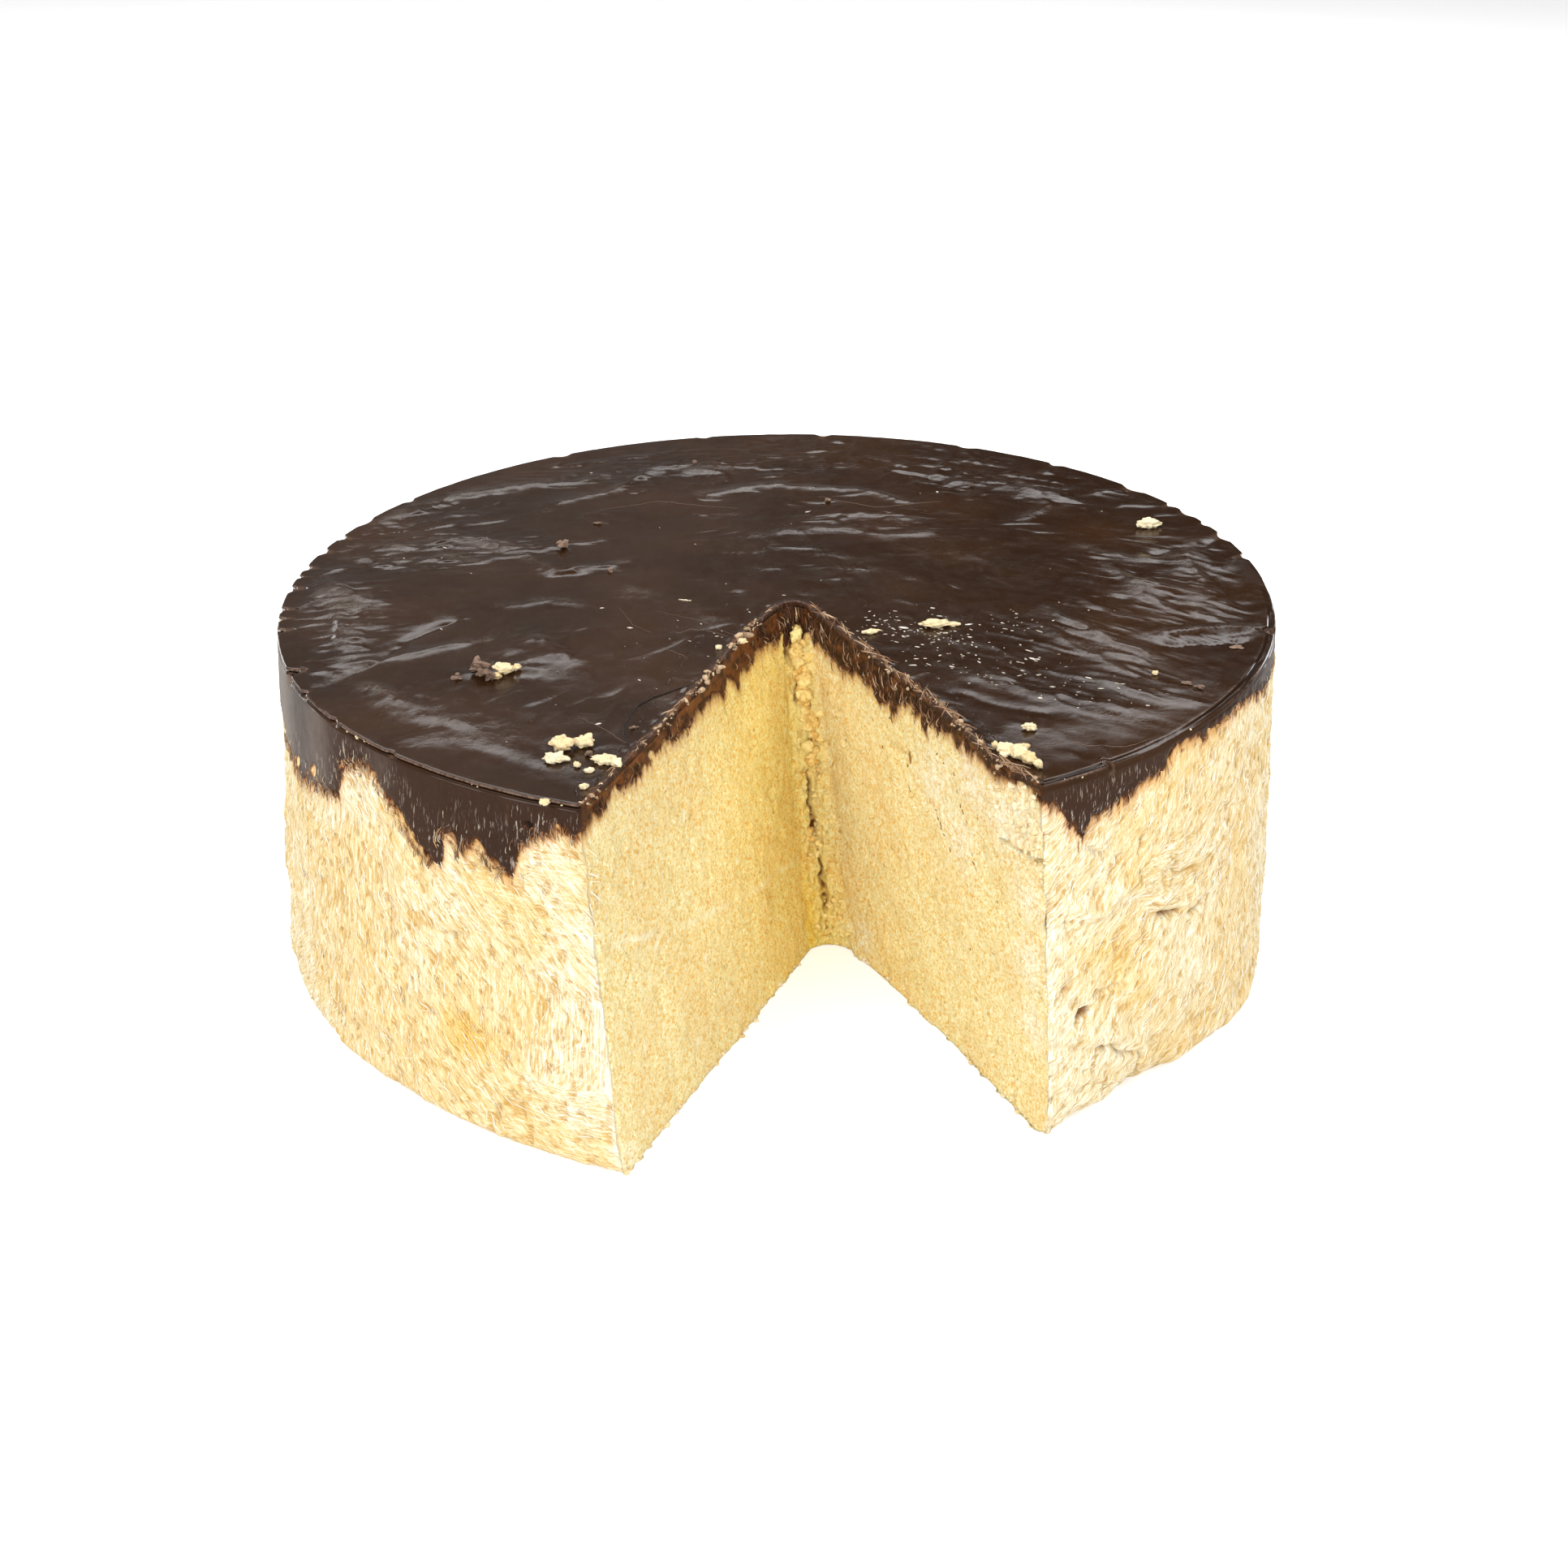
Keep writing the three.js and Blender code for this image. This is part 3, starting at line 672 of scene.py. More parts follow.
def faceMarks(z):
    along = np.broadcast_to(columnShare * faceLength, z.shape)
    place = flatPoints(along, z, 8)
    frayed = noise(place, 1.6, 66)
    total = 0.6 * hump(lineAway(along, z, [(share * faceLength, high) for share, high in knifeLine]), 0, 0.4)
    total = total * smooth(0.55 + 1.2 * noise(place, 7, 67)) * (1 + 0.5 * frayed)
    for share, high in paleFlecks:
        away = np.hypot((along - share * faceLength) / 0.7, (z - high) / 1.1) + 0.5 * frayed
        total = np.maximum(total, 0.8 * smooth(1.4 - away))
    return np.clip(total, 0, 1) * (columnKind == 1)


# Crumbs that stick out along the foot.
def ragAtFoot(points, z):
    return 0.5 * np.maximum(billow(points, 1.4, 64) - 0.3, 0) * np.exp(-z / 1.3) * np.where(isOuter, 0.3, 1)


onRight = columnWalk < columnWalk[-1] / 2


# Height of the halva above its plain form. tear is the relief of the torn end.
def halvaHeight(points, degrees, z, tear):
    height = np.where(isOuter, sideHeight(degrees, z), cutHeight(points))
    crumbly = np.where(onRight, 1.1, 0.55) * fractal(points, 2.6, 61, 3) * smooth(1 - cornerAway / 2.8)
    crumbly = crumbly + 0.5 * (billow(points, 2.6, 62) - 0.4) * crumbledAt(points) + ragAtFoot(points, z)
    height = (height + crumbly) * np.where(isTear, 0.4, 1) + tear * smooth(0.3 + z / 1.2)
    height = height - np.where(isOuter, 0, faceCrackDepth(points))
    return np.where(height < 0, height * smooth(0.25 + z / 2), height)


# The whiter ridge of the outside beside the cut.
def cornerRidge(points, z):
    right = 0.25 * smooth((1.9 - cornerAway) / 0.8) + 0.3 * smooth((5.6 - cornerAway) / 1.5)
    ridge = np.where(onRight, right, 0.8 * smooth((3.6 - cornerAway) / 2.4))
    return ridge * smooth((58 - z) / 10) * isOuter * smooth(0.7 + 0.9 * noise(points, 3, 68))


# What the halva's material reads at each point.
def halvaFields(points, plan, degrees, z, edge, tear):
    arc = arcAt(degrees)
    onCut = cutColumns * np.ones(z.shape)
    # painted warm shade and bounce light on the cut, deeper into the notch and lower down
    inwardShare = np.where(columnKind == 3, 0.22, np.where(isTear, 1 - 0.45 * columnShare, 1))
    lowDeeper = 1 + (0.5 * isTear + 2 * (columnKind == 3)) * smooth((26 - z) / 20)
    insideTear = smooth((np.sin(math.pi * columnShare) - 0.4) / 0.4)
    return {
        "place": np.stack([arc, z, onCut * 50], axis=-1),
        "lean": np.stack([*fibreLean(arc, z), onCut * 0], axis=-1),
        "edge": z - edge, "cut": onCut, "ridge": cornerRidge(points, z),
        "inward": smooth((plan[..., 1] + 88) / 66) * inwardShare * onCut * lowDeeper,
        "torn": isTear * smooth((z - 38) / 5) * smooth((72 - z) / 3) * insideTear,
        "mark": faceMarks(z), "lump": tear, "crumbled": crumbledAt(points),
        "ochre": np.where(isOuter, ochreAt(degrees, z), 0.0),
        "pit": np.where(isOuter, pitDepth(degrees, z), faceCrackDepth(points)),
        # where the pores take painted shade
        "pore": np.where(isOuter, sidePores(flatPoints(arc, z)), 0.0),
    }


def buildHalva():
    rows = meshDetail["halvaRows"]
    edge = topEdge - coverEdge
    overlap = np.minimum(halvaLap, 0.6 * coverEdge)
    z = np.linspace(0, 1, rows)[:, None] * (edge + overlap)[None]
    plan, degrees = outline(z)
    points = withHeight(plan, z)
    normals = gridNormals(points)
    tear = tearHeight(points, np.broadcast_to(columnShare, z.shape), z / halvaRound["height"])
    tear = np.where(isTear, tear, 0)
    under = smooth((z - edge) / overlap)
    points = points + normals * (halvaHeight(points, degrees, z, tear) - 0.9 * under)[..., None]
    points[0, :, 2] = 0
    points[..., 2] = np.maximum(points[..., 2], 0)
    fields = halvaFields(points, plan, degrees, z, edge, tear)
    # one more ring under the foot, and one under the slab, well below the relief of the chocolate
    inset = 3.0
    ring = np.c_[insetPlan(points[-1, :, :2], inset), np.minimum(points[-1, :, 2], topEdge - 4)]
    base = np.c_[insetPlan(plan[0], inset), np.zeros(columnCount)]
    rings = np.concatenate([base[None], points, ring[None]])
    fields = {name: np.concatenate([values[:1], values, values[-1:]]) for name, values in fields.items()}
    middle = chocolateCover["slabAt"]
    top = topPlane(middle[0]) - chocolateCover["underside"]
    body = ringMesh("halvaBody", rings, (*middle, 0), (*middle, top), fields)
    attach(body, "root")
    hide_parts("halva")
    return body, points, normals


# The chocolate.

# Chips out of the rim: angle, half width in degrees, depth, height.
rimChips = [
    (8.5, 0.9, 1.1, 2), (15.4, 1.4, 1.3, 2), (20.2, 0.8, 0.9, 1.6), (24.4, 1.3, 1, 1.8),
    (27.9, 0.7, 1.2, 2), (35.4, 1.6, 1.4, 2.2), (49, 0.9, 1.2, 2), (63, 1.2, 1, 2.2),
    (84, 0.9, 1.3, 2), (101, 0.8, 0.9, 1.6), (122, 1.1, 1.2, 2.2), (148, 0.8, 1, 1.6),
    (157, 1.4, 1, 1.8), (163, 0.8, 1.5, 2), (168, 1, 1.2, 2.2), (173.5, 0.8, 1.4, 2.2),
    (176.4, 0.5, 1.1, 2), (180.2, 0.9, 1.6, 2.6), (186.6, 0.7, 1.5, 2.4), (189.4, 0.5, 1.5, 1.8),
    (192.9, 0.7, 1.6, 2.4), (204.8, 0.9, 2.2, 3.2), (345.6, 0.8, 1.2, 2.2), (-54.6, 0.35, 1.4, 2.8),
    (-149.4, 0.5, 0.8, 1.6), (-141.5, 0.6, 0.5, 1), (-131, 0.5, 0.5, 0.9),
]

# Creases that the film left in the top: points in plan, height, half width.
filmCreases = [
    ([(-99, -62), (-92, -54), (-82, -40.5), (-77, -28), (-70, -20), (-66, -17)], -0.95, 2.4),
    ([(-90, -42), (-82, -39), (-74, -36), (-67, -32), (-60, -30)], 0.7, 1.2),
    ([(-96, -57), (-88, -49), (-82, -41)], 0.6, 1.6),
    ([(-83, 26), (-73, 30), (-61, 23), (-56, 14), (-49, 8), (-44, 11), (-34, 15)], 0.7, 1.3),
    ([(-86, 21), (-76, 25), (-66, 21)], 0.5, 1), ([(-88, 15), (-78, 18), (-70, 15)], 0.4, 1),
    ([(-97, -9), (-93, -22), (-90, -34), (-83, -39)], 0.6, 1.4),
    ([(-86, -48), (-76, -57), (-68, -65), (-59, -70), (-54, -70)], 0.5, 1.5),
    ([(-66, -79), (-56, -74.5), (-51, -78), (-44, -85), (-37, -88)], 0.2, 1.2),
    ([(-56, -24), (-46, -33), (-44, -40), (-51, -42.5), (-58, -42)], 0.45, 1.9),
    ([(-58, -47), (-49, -45.5), (-42, -48)], 0.4, 1.2), ([(-60, -12), (-50, -8), (-40, -10)], 0.3, 1.5),
    ([(-99, 40), (-91, 52), (-79, 62), (-62, 69), (-44, 74)], 0.6, 2.2),
    ([(-93, 34), (-84, 44), (-80, 56), (-86, 60)], -0.5, 2), ([(-103, 6), (-96, -4), (-89, -12)], 0.5, 2.4),
    ([(-100, 18), (-90, 14), (-84, 16)], 0.5, 1.2), ([(-98, 26), (-88, 24), (-80, 30)], 0.45, 1.2),
    ([(74, 10), (80, -1), (90, -7), (97, -7)], 0.6, 1.2), ([(79, 1), (82, -8), (85, -17)], 0.5, 1.1),
    ([(58, -14), (66, -26), (71, -34), (79, -42)], 0.55, 1.3), ([(56, -24), (64, -38), (71, -48)], 0.5, 1.2),
    ([(78, -29.5), (91, -26), (104, -24.5)], 0.75, 1.1), ([(78, -34), (93, -32), (101, -31)], -0.7, 1.6),
    ([(33, -42), (39, -47), (45, -55)], 0.2, 0.9), ([(33, -54), (43, -61), (54, -66), (60, -66)], -0.3, 0.9),
    ([(48, -56), (59, -64), (66, -69)], 0.25, 1), ([(64, -50), (73, -58), (80, -62)], 0.5, 1.2),
    ([(82, 16), (93, 21), (105, 27)], -0.7, 1.8), ([(96, 24), (93, 10), (95, 0)], 0.5, 1.3),
    ([(88, -12), (92, -18), (98, -23)], 0.5, 1.2), ([(70, 22), (80, 14), (90, 14)], 0.4, 1.5),
    ([(-20, 60), (-2, 66), (20, 62), (34, 52)], 0.6, 1.7), ([(28, 80), (40, 71), (48, 58)], -0.7, 2),
    ([(-58, 52), (-44, 62), (-30, 82)], 0.6, 1.6), ([(-6, 30), (10, 36), (26, 30), (40, 34)], 0.4, 1.5),
    ([(58, 40), (66, 52), (60, 68)], 0.6, 1.4), ([(-34, -2), (-22, -8), (-12, -20)], 0.3, 2.5),
]

# Belts of small ripples in the film: from, to, count, length, lean, height.
rippleBelts = [
    ((-95, -10), (-86, -38), 20, 6, 8, 0.3), ((-96, 34), (-86, 12), 9, 11, 24, 0.3),
    ((-82, 34), (-66, 17), 8, 12, 12, 0.28), ((-72, -58), (-58, -72), 8, 8, -12, 0.25),
    ((76, 8), (88, -16), 14, 10, -32, 0.24), ((62, -22), (74, -48), 14, 11, -36, 0.24),
    ((93, 24), (96, -18), 14, 7, -22, 0.22), ((36, -40), (58, -62), 12, 9, -34, 0.28),
    ((74, -48), (82, -62), 6, 8, -14, 0.25), ((-52, 76), (-20, 84), 9, 10, 20, 0.25),
    ((20, 88), (60, 72), 10, 11, -28, 0.28), ((-10, 44), (30, 46), 8, 12, 4, 0.22),
]

# Blisters where the film let go, with painted grey sheen: centre, half length, half width, lean, strength.
sheenPatches = [
    (-96, -8, 8, 5, -30, 1), (-89, -30, 3, 11, 10, 0.5), (-76, -58, 8, 2.6, -42, 0.5),
    (-63, -69, 7, 2, -18, 0.35), (-47, -82, 9, 1.6, -32, 0.3), (-50, -38, 9, 5, -35, 0.3),
    (-66, 25, 14, 3, -10, 0.6), (-47, 9, 5, 1.6, 10, 0.8), (-90, 20, 6, 6, 20, 0.4),
    (-66, -76, 6, 2, 20, 0.2), (-56, -46, 8, 2, 5, 0.5), (82, -4, 6, 5, -30, 0.5),
    (68, -34, 8, 4, -38, 0.35), (94, -10, 4, 14, 10, 0.35), (62, -62, 10, 2.4, -20, 0.2),
    (78, -60, 7, 2, -30, 0.3), (92, -27, 12, 1.6, 8, 0.5), (46, -50, 6, 2, -35, 0.15),
    (60, 60, 12, 4, -30, 0.35), (-20, 80, 16, 4, 10, 0.35), (20, 40, 14, 5, 10, 0.35),
    (94, 12, 5, 9, 0, 0.5),
]

# Small creases anywhere on the top.
strayCreases = {"count": 170, "radius": 104, "long": (5, 16), "height": (0.12, 0.34), "width": (0.4, 0.9)}

# Fields of fine wrinkles: centre, reach along and across, lean, height.
wrinkleFields = [
    (84, -8, 20, 24, -32, 0.2), (62, -40, 20, 18, -34, 0.2), (92, 22, 18, 18, -18, 0.16),
    (66, -66, 14, 8, -28, 0.1), (-92, -16, 8, 24, 8, 0.4), (-76, 22, 20, 12, 6, 0.34),
    (-62, -62, 22, 12, -36, 0.16), (-88, 46, 16, 18, 34, 0.36), (-20, 82, 40, 14, 6, 0.3),
    (52, 74, 30, 16, -28, 0.3), (-50, -30, 16, 12, -30, 0.12), (10, 36, 40, 22, 4, 0.1),
]


def wrinkles(x, y):
    total = np.zeros(x.shape)
    for number, (atX, atY, reachAlong, reachAcross, lean, height) in enumerate(wrinkleFields):
        u, v = alongAcross(x - atX, y - atY, math.radians(lean))
        weight = np.exp(-0.5 * ((u / reachAlong) ** 2 + (v / reachAcross) ** 2) * 1.6)
        near = weight > 0.04
        place = flatPoints(u[near] / 2.6, v[near], 11.0 * number)
        folded = place[..., 1] + 1.6 * noise(place, 6, 79)
        place = np.stack([place[..., 0], folded, place[..., 2]], axis=-1)
        ridge = (1 - np.abs(noise(place, 3.4, 80))) ** 3 + 0.35 * (1 - np.abs(noise(place, 1.5, 84))) ** 3
        total[near] = np.maximum(total[near], height * weight[near] * ridge)
    return total


def lineFade(x, y, line):
    ends = np.minimum(np.hypot(x - line[0][0], y - line[0][1]), np.hypot(x - line[-1][0], y - line[-1][1]))
    return smooth(ends / 7 + 0.1)


# A fold with a sharp crest.
def crest(away, width):
    return np.exp(-np.sqrt(away ** 2 + 0.06) / width)


def shortCrease(total, x, y, centre, half, lean, height, width):
    near = (np.abs(x - centre[0]) < half + 3) & (np.abs(y - centre[1]) < half + 3)
    u, v = alongAcross(x[near] - centre[0], y[near] - centre[1], lean)
    v = v + 0.05 * u * u / half
    total[near] += height * crest(v, width) * smooth(1.15 - np.abs(u) / half)


def creaseHeight(x, y):
    wander = flatPoints(x, y)
    bentX = x + 1.5 * noise(wander, 8, 71) + 0.5 * noise(wander, 2.6, 69)
    bentY = y + 1.5 * noise(wander, 8, 72) + 0.5 * noise(wander, 2.6, 70)
    total = np.zeros(x.shape)
    for line, height, width in filmCreases:
        total += height * crest(lineAway(bentX, bentY, line), width) * lineFade(bentX, bentY, line)
    random = np.random.default_rng(73)
    for start, end, count, long, lean, height in rippleBelts:
        for share in np.linspace(0, 1, count):
            centre = blend(np.array(start, float), np.array(end, float), share) + random.normal(0, 1.2, 2)
            turned = math.radians(lean) + random.normal(0, 0.2)
            size = height * random.uniform(0.4, 1.1) * random.choice([-1, 1, 1])
            shortCrease(total, bentX, bentY, centre, long / 2 * random.uniform(0.6, 1.3), turned, size, 0.6)
    for _ in range(strayCreases["count"]):
        radius, around = strayCreases["radius"] * math.sqrt(random.random()), random.random() * turn
        centre = (radius * math.cos(around), radius * math.sin(around))
        lean = 0.3 + 0.7 * float(noise(np.array([*centre, 0.0]), 50, 74)) - 0.8 * (centre[0] > 30)
        half = random.uniform(*strayCreases["long"]) / 2
        height = random.uniform(*strayCreases["height"]) * random.choice([-1, 1])
        shortCrease(total, bentX, bentY, centre, half, lean, height, random.uniform(*strayCreases["width"]))
    for at, _, deep, _ in rimChips:
        if deep > 0.9:
            end = at + random.uniform(-5, 5)
            line = [tuple(onCircle(at, 107.0)), tuple(onCircle(end, random.uniform(98, 102)))]
            total += 0.4 * crest(lineAway(bentX, bentY, line), 0.7)
    return total + wrinkles(x, y)


# Blisters in the film, each rising to a crisp far edge.
def blisterHeight(x, y):
    place = flatPoints(x, y)
    total = np.zeros(x.shape)
    frayed = 0.4 * noise(place, 6, 90) + 0.25 * noise(place, 2.2, 92)
    for atX, atY, halfLong, halfWide, lean, strength in sheenPatches:
        u, v = alongAcross(x - atX, y - atY, math.radians(lean))
        u, v = u / halfLong, v / halfWide + frayed
        rise = np.clip((v + 1.3) / 2.1, 0, 1) * smooth((1.25 - v) / 0.5)
        total += min(0.3 * halfWide, 1.1) * math.sqrt(strength) * rise * smooth(1.5 - np.abs(u))
    return total


def topHeight(x, y):
    place = flatPoints(x, y)
    calm = smooth((halvaRound["rimRadius"] - np.hypot(x, y)) / 7)
    swell = 0.32 * noise(place, 38, 75) + 0.18 * noise(place, 17, 76)
    relief = swell + creaseHeight(x, y) + blisterHeight(x, y) - 0.25
    return topPlane(x) + calm * relief + 0.04 * noise(place, 3, 77)


def sheenAt(x, y):
    place = flatPoints(x, y)
    total = np.zeros(x.shape)
    for atX, atY, halfLong, halfWide, lean, strength in sheenPatches:
        u, v = alongAcross(x - atX, y - atY, math.radians(lean))
        away = (u / halfLong) ** 2 + (v / halfWide) ** 2
        total = np.maximum(total, strength * np.exp(-0.7 * away))
    for line, height, width in filmCreases:
        total = np.maximum(total, 0.5 * hump(lineAway(x, y - 1.2, line), 0, width + 0.4) * (height > 0))
    return total * (0.8 + 0.4 * noise(place, 4, 78)) + 0.9 * wrinkles(x, y)


def chipInset(degrees, drop):
    total = np.zeros(np.broadcast(degrees, drop).shape)
    for at, half, deep, high in rimChips:
        away = np.abs(wrap(degrees - at)) / half
        reach = np.clip(1.3 - away, 0, 1) ** 0.8 * smooth((high - drop) / high * 2)
        total = np.maximum(total, deep * reach)
    return total


def bareSkirt(degrees, drop):
    degrees, drop = np.broadcast_arrays(degrees, drop)
    total = np.zeros(drop.shape)
    place = flatPoints(arcAt(degrees), drop)
    frayed = 0.8 * noise(place, 2.2, 88) + 1.1 * noise(place * (1, 0.4, 1), 0.8, 89)
    for at, depth, halfWide, halfHigh in bareSpots:
        away = np.hypot(arcAt(wrap(degrees - at)) / halfWide, (drop - depth) / halfHigh)
        total = np.maximum(total, 0.9 * smooth(1.3 + frayed - away))
    return total


# The rim in section, from the skirt inwards: outwards of the edge, above it, and painted shade (-1)
# or highlight (1). On the left a thin seam runs under the top sheet, on the right a groove inside a bead.
rimSection = {
    "seam": [
        (0.32, -1.5, 0), (0.34, -1.16, 0), (0.24, -1.04, 0), (-0.3, -1, -1), (-0.36, -0.64, -1),
        (0.2, -0.6, 0), (0.36, -0.48, 0.6), (0.36, -0.26, 0.5), (0.24, -0.1, 0.3), (0.04, -0.02, 0),
        (-0.25, 0, 0), (-0.7, 0, 0), (-1.2, 0, 0), (-1.8, 0, 0), (-2.5, 0, 0), (-3.2, 0, 0),
        (-4, 0, 0)],
    "groove": [
        (0.32, -1.3, 0), (0.36, -0.8, 0), (0.34, -0.45, 0.2), (0.24, -0.2, 0.3), (0.06, -0.1, 0.3),
        (-0.14, -0.16, 0), (-0.32, -0.2, -0.2), (-0.5, -0.26, -0.5), (-0.7, -0.3, -0.6), (-0.95, -0.3, -0.6),
        (-1.15, -0.28, -0.8), (-1.3, -0.18, -0.8), (-1.42, -0.06, 0), (-1.6, 0, 0.3), (-1.9, 0.02, 0),
        (-2.8, 0.02, 0), (-4, 0, 0)],
    "cut": [
        (0.1, -1.3, 0), (0.16, -1.1, 0), (0.2, -0.9, 0), (0.22, -0.7, 0), (0.2, -0.5, 0), (0.14, -0.32, 0),
        (0.06, -0.16, 0), (-0.06, -0.05, 0.3), (-0.22, 0, 0.4), (-0.45, 0.03, 0.2), (-0.8, 0.04, 0),
        (-1.2, 0.02, 0), (-1.6, 0, 0), (-2.1, 0, 0), (-2.7, 0, 0), (-3.3, 0, 0), (-4, 0, 0)],
}


def rimRings():
    plan, degrees = outlineAt(topEdge)
    chip = chipInset(degrees, np.zeros(columnCount)) * isOuter
    wrapped = wrap(degrees)
    grooved = smooth((wrapped + 66) / 3) * smooth((14 - wrapped) / 30)
    grooved = grooved * (0.85 + 0.3 * noise(flatPoints(columnWalk, 0), 9, 85))
    rings, tones = [], []
    for number, parts in enumerate(zip(rimSection["seam"], rimSection["groove"], rimSection["cut"])):
        section = [np.where(isOuter, blend(a, b, grooved), c) for a, b, c in zip(*parts)]
        out, lift, tone = section
        chipped = chip * smooth(1.3 + lift / 2.2) * smooth((out + 3) / 1)
        place = insetPlan(plan, chipped - out, 0.02 * number)
        spot = np.c_[place, topEdge + lift]
        rough = np.where(isOuter, 0.05, 0.42) * fractal(spot, 1.6, 86, 2) * (out > -2)
        place = place + planNormals * rough[:, None] * 0.6
        rings.append(np.c_[place, topPlane(place[:, 0]) + lift + rough * 0.4 * (1 - isOuter)])
        tones.append(tone)
    return np.stack(rings), chip, np.stack(tones)


# Upright bands of painted sheen on the skirt: angle, half width in degrees, strength.
skirtBands = [(-162, 6, 1.3), (-146, 3, 0.5), (-133, 2, 0.3), (-14, 5, 0.7), (150, 9, 0.5), (60, 6, 0.5)]


def skirtSheen(degrees):
    return sum(strength * angleHump(degrees, at, width) for at, width, strength in skirtBands)


def chocolateWall():
    edge = topEdge - coverEdge
    share = np.linspace(0, 1, meshDetail["skirtRows"])[:, None] ** 1.15
    low, high = edge - 1.1, topEdge - 1.5
    z = blend(np.minimum(low, high - 0.4)[None], high[None], share)
    plan, degrees = outline(z)
    wall = withHeight(plan, z)
    normals = gridNormals(wall)
    bare = np.where(isOuter, sideHeight(degrees, z), cutHeight(wall))
    roughCut = np.where(columnKind == 1, 0.24, 0.45) * fractal(wall * (1, 1, 0.5), 1.9, 82, 2)
    rough = np.where(isOuter, 0.06 * fractal(wall, 3, 81), roughCut)
    rough = rough + np.where(isTear, 0.8 * fractal(wall, 3, 83), 0)
    frayed = 0.3 * noise(wall * (1, 1, 0.25), 1.2, 87)
    proud = np.where(isOuter, chocolateCover["proud"], 0.1)
    level = blend(-chocolateCover["tuck"], proud, smooth((z - edge + 1.1) / 2.2))
    settled = smooth((z - edge) / 3.5)
    away = arcAt(wrap(degrees - skirtHole["at"])) / skirtHole["halfWide"]
    holed = smooth(1.9 - np.hypot(away, (topEdge - z - skirtHole["drop"]) / skirtHole["halfHigh"])) * isOuter
    bared = np.maximum(bareSkirt(degrees, topEdge - z) * isOuter, 0.42 * smooth(1.6 * holed))
    sunk = 0.3 * bared + 0.9 * smooth(2 * holed - 1)
    height = level + blend(bare + frayed, rough, settled) - sunk
    wall = wall + normals * height[..., None]
    inset = chipInset(degrees, topEdge - z) * isOuter
    wall[..., :2] -= normals[..., :2] * inset[..., None]
    fields = {
        "edge": z - edge, "drop": topEdge - z, "chip": inset, "bare": bared,
        # the dark centre of the hole is painted shade
        "cut": cutColumns * np.ones(z.shape), "seam": -smooth(2 * holed - 1),
        "gold": np.where(columnKind == 1, 1.0, 0.2) * smooth(0.4 + (z - edge) / 3),
        "sheen": skirtSheen(degrees) * isOuter * np.ones(z.shape),
    }
    return wall, normals, fields


# A stack of rings from a ring in to the middle, not counting either.
def ringsInwards(start, middle, rows):
    share = np.linspace(0, 1, rows + 1)[1:-1, None, None]
    place = start[None] + (middle - start)[None] * share
    return withHeight(place, topHeight(place[..., 0], place[..., 1]))


def buildChocolate():
    wall, normals, fields = chocolateWall()
    rim, chip, tones = rimRings()
    middle = np.array(chocolateCover["slabAt"])
    top = ringsInwards(rim[-1, :, :2], middle, meshDetail["topRows"])
    rim[..., 2] += topHeight(rim[..., 0], rim[..., 1]) - topPlane(rim[..., 0])
    # the hidden inside of the skirt, and the underside of the slab
    edge = topEdge - coverEdge
    thick = chocolateCover["skirtThickness"]
    edgePlan = outlineAt(edge + 0.5)[0]
    slabPlan = outlineAt(topEdge - 4)[0]
    inside = np.stack([
        np.c_[insetPlan(slabPlan, thick + 1.2), np.minimum(topEdge - 3.6, topEdge - 0.7 * coverEdge)],
        np.c_[insetPlan(edgePlan, thick), np.minimum(edge + 0.5, topEdge - 1.4)]])
    points = np.concatenate([inside, wall, rim, top])
    flat = np.concatenate([rim, top])
    blank = np.zeros(flat.shape[:2])
    onRim = {name: blank.copy() for name in fields}
    onRim["edge"] += 9.0
    onRim["drop"][:len(rim)] = 0.5
    onRim["chip"][:len(rim)] = chip * np.linspace(1, 0, len(rim))[:, None]
    # the rim's painted shade and highlights
    onRim["seam"][:len(rim)] = tones
    for number, (out, _, _) in enumerate(rimSection["cut"]):
        onRim["cut"][number] = cutColumns * smooth((1.5 + out) / 1.2)
    toRim = halvaRound["rimRadius"] - 1 - np.hypot(flat[..., 0], flat[..., 1])
    onRim["sheen"] = sheenAt(flat[..., 0], flat[..., 1]) * smooth(toRim / 2)
    hidden = np.zeros((len(inside), columnCount))
    allFields = {name: np.concatenate([hidden, fields[name], onRim[name]]) for name in fields}
    topMiddle = float(topHeight(np.array([middle[0]]), np.array([middle[1]]))[0])
    under = topPlane(middle[0]) - chocolateCover["underside"]
    cover = ringMesh("chocolateCover", points, (*middle, under), (*middle, topMiddle), allFields)
    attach(cover, "root")
    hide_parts("chocolate")
    return cover, wall, normals, flat


# Materials.

def linear(red, green, blue):
    def channel(value):
        value = value / 255
        return value / 12.92 if value <= 0.04045 else ((value + 0.055) / 1.055) ** 2.4
    return (channel(red), channel(green), channel(blue), 1.0)


def palette(**colours):
    return {name: linear(*colour) for name, colour in colours.items()}


# Stops of a colour ramp: position, red, green, blue.
def rampStops(*stops):
    return [(position, linear(*colour)) for position, *colour in stops]


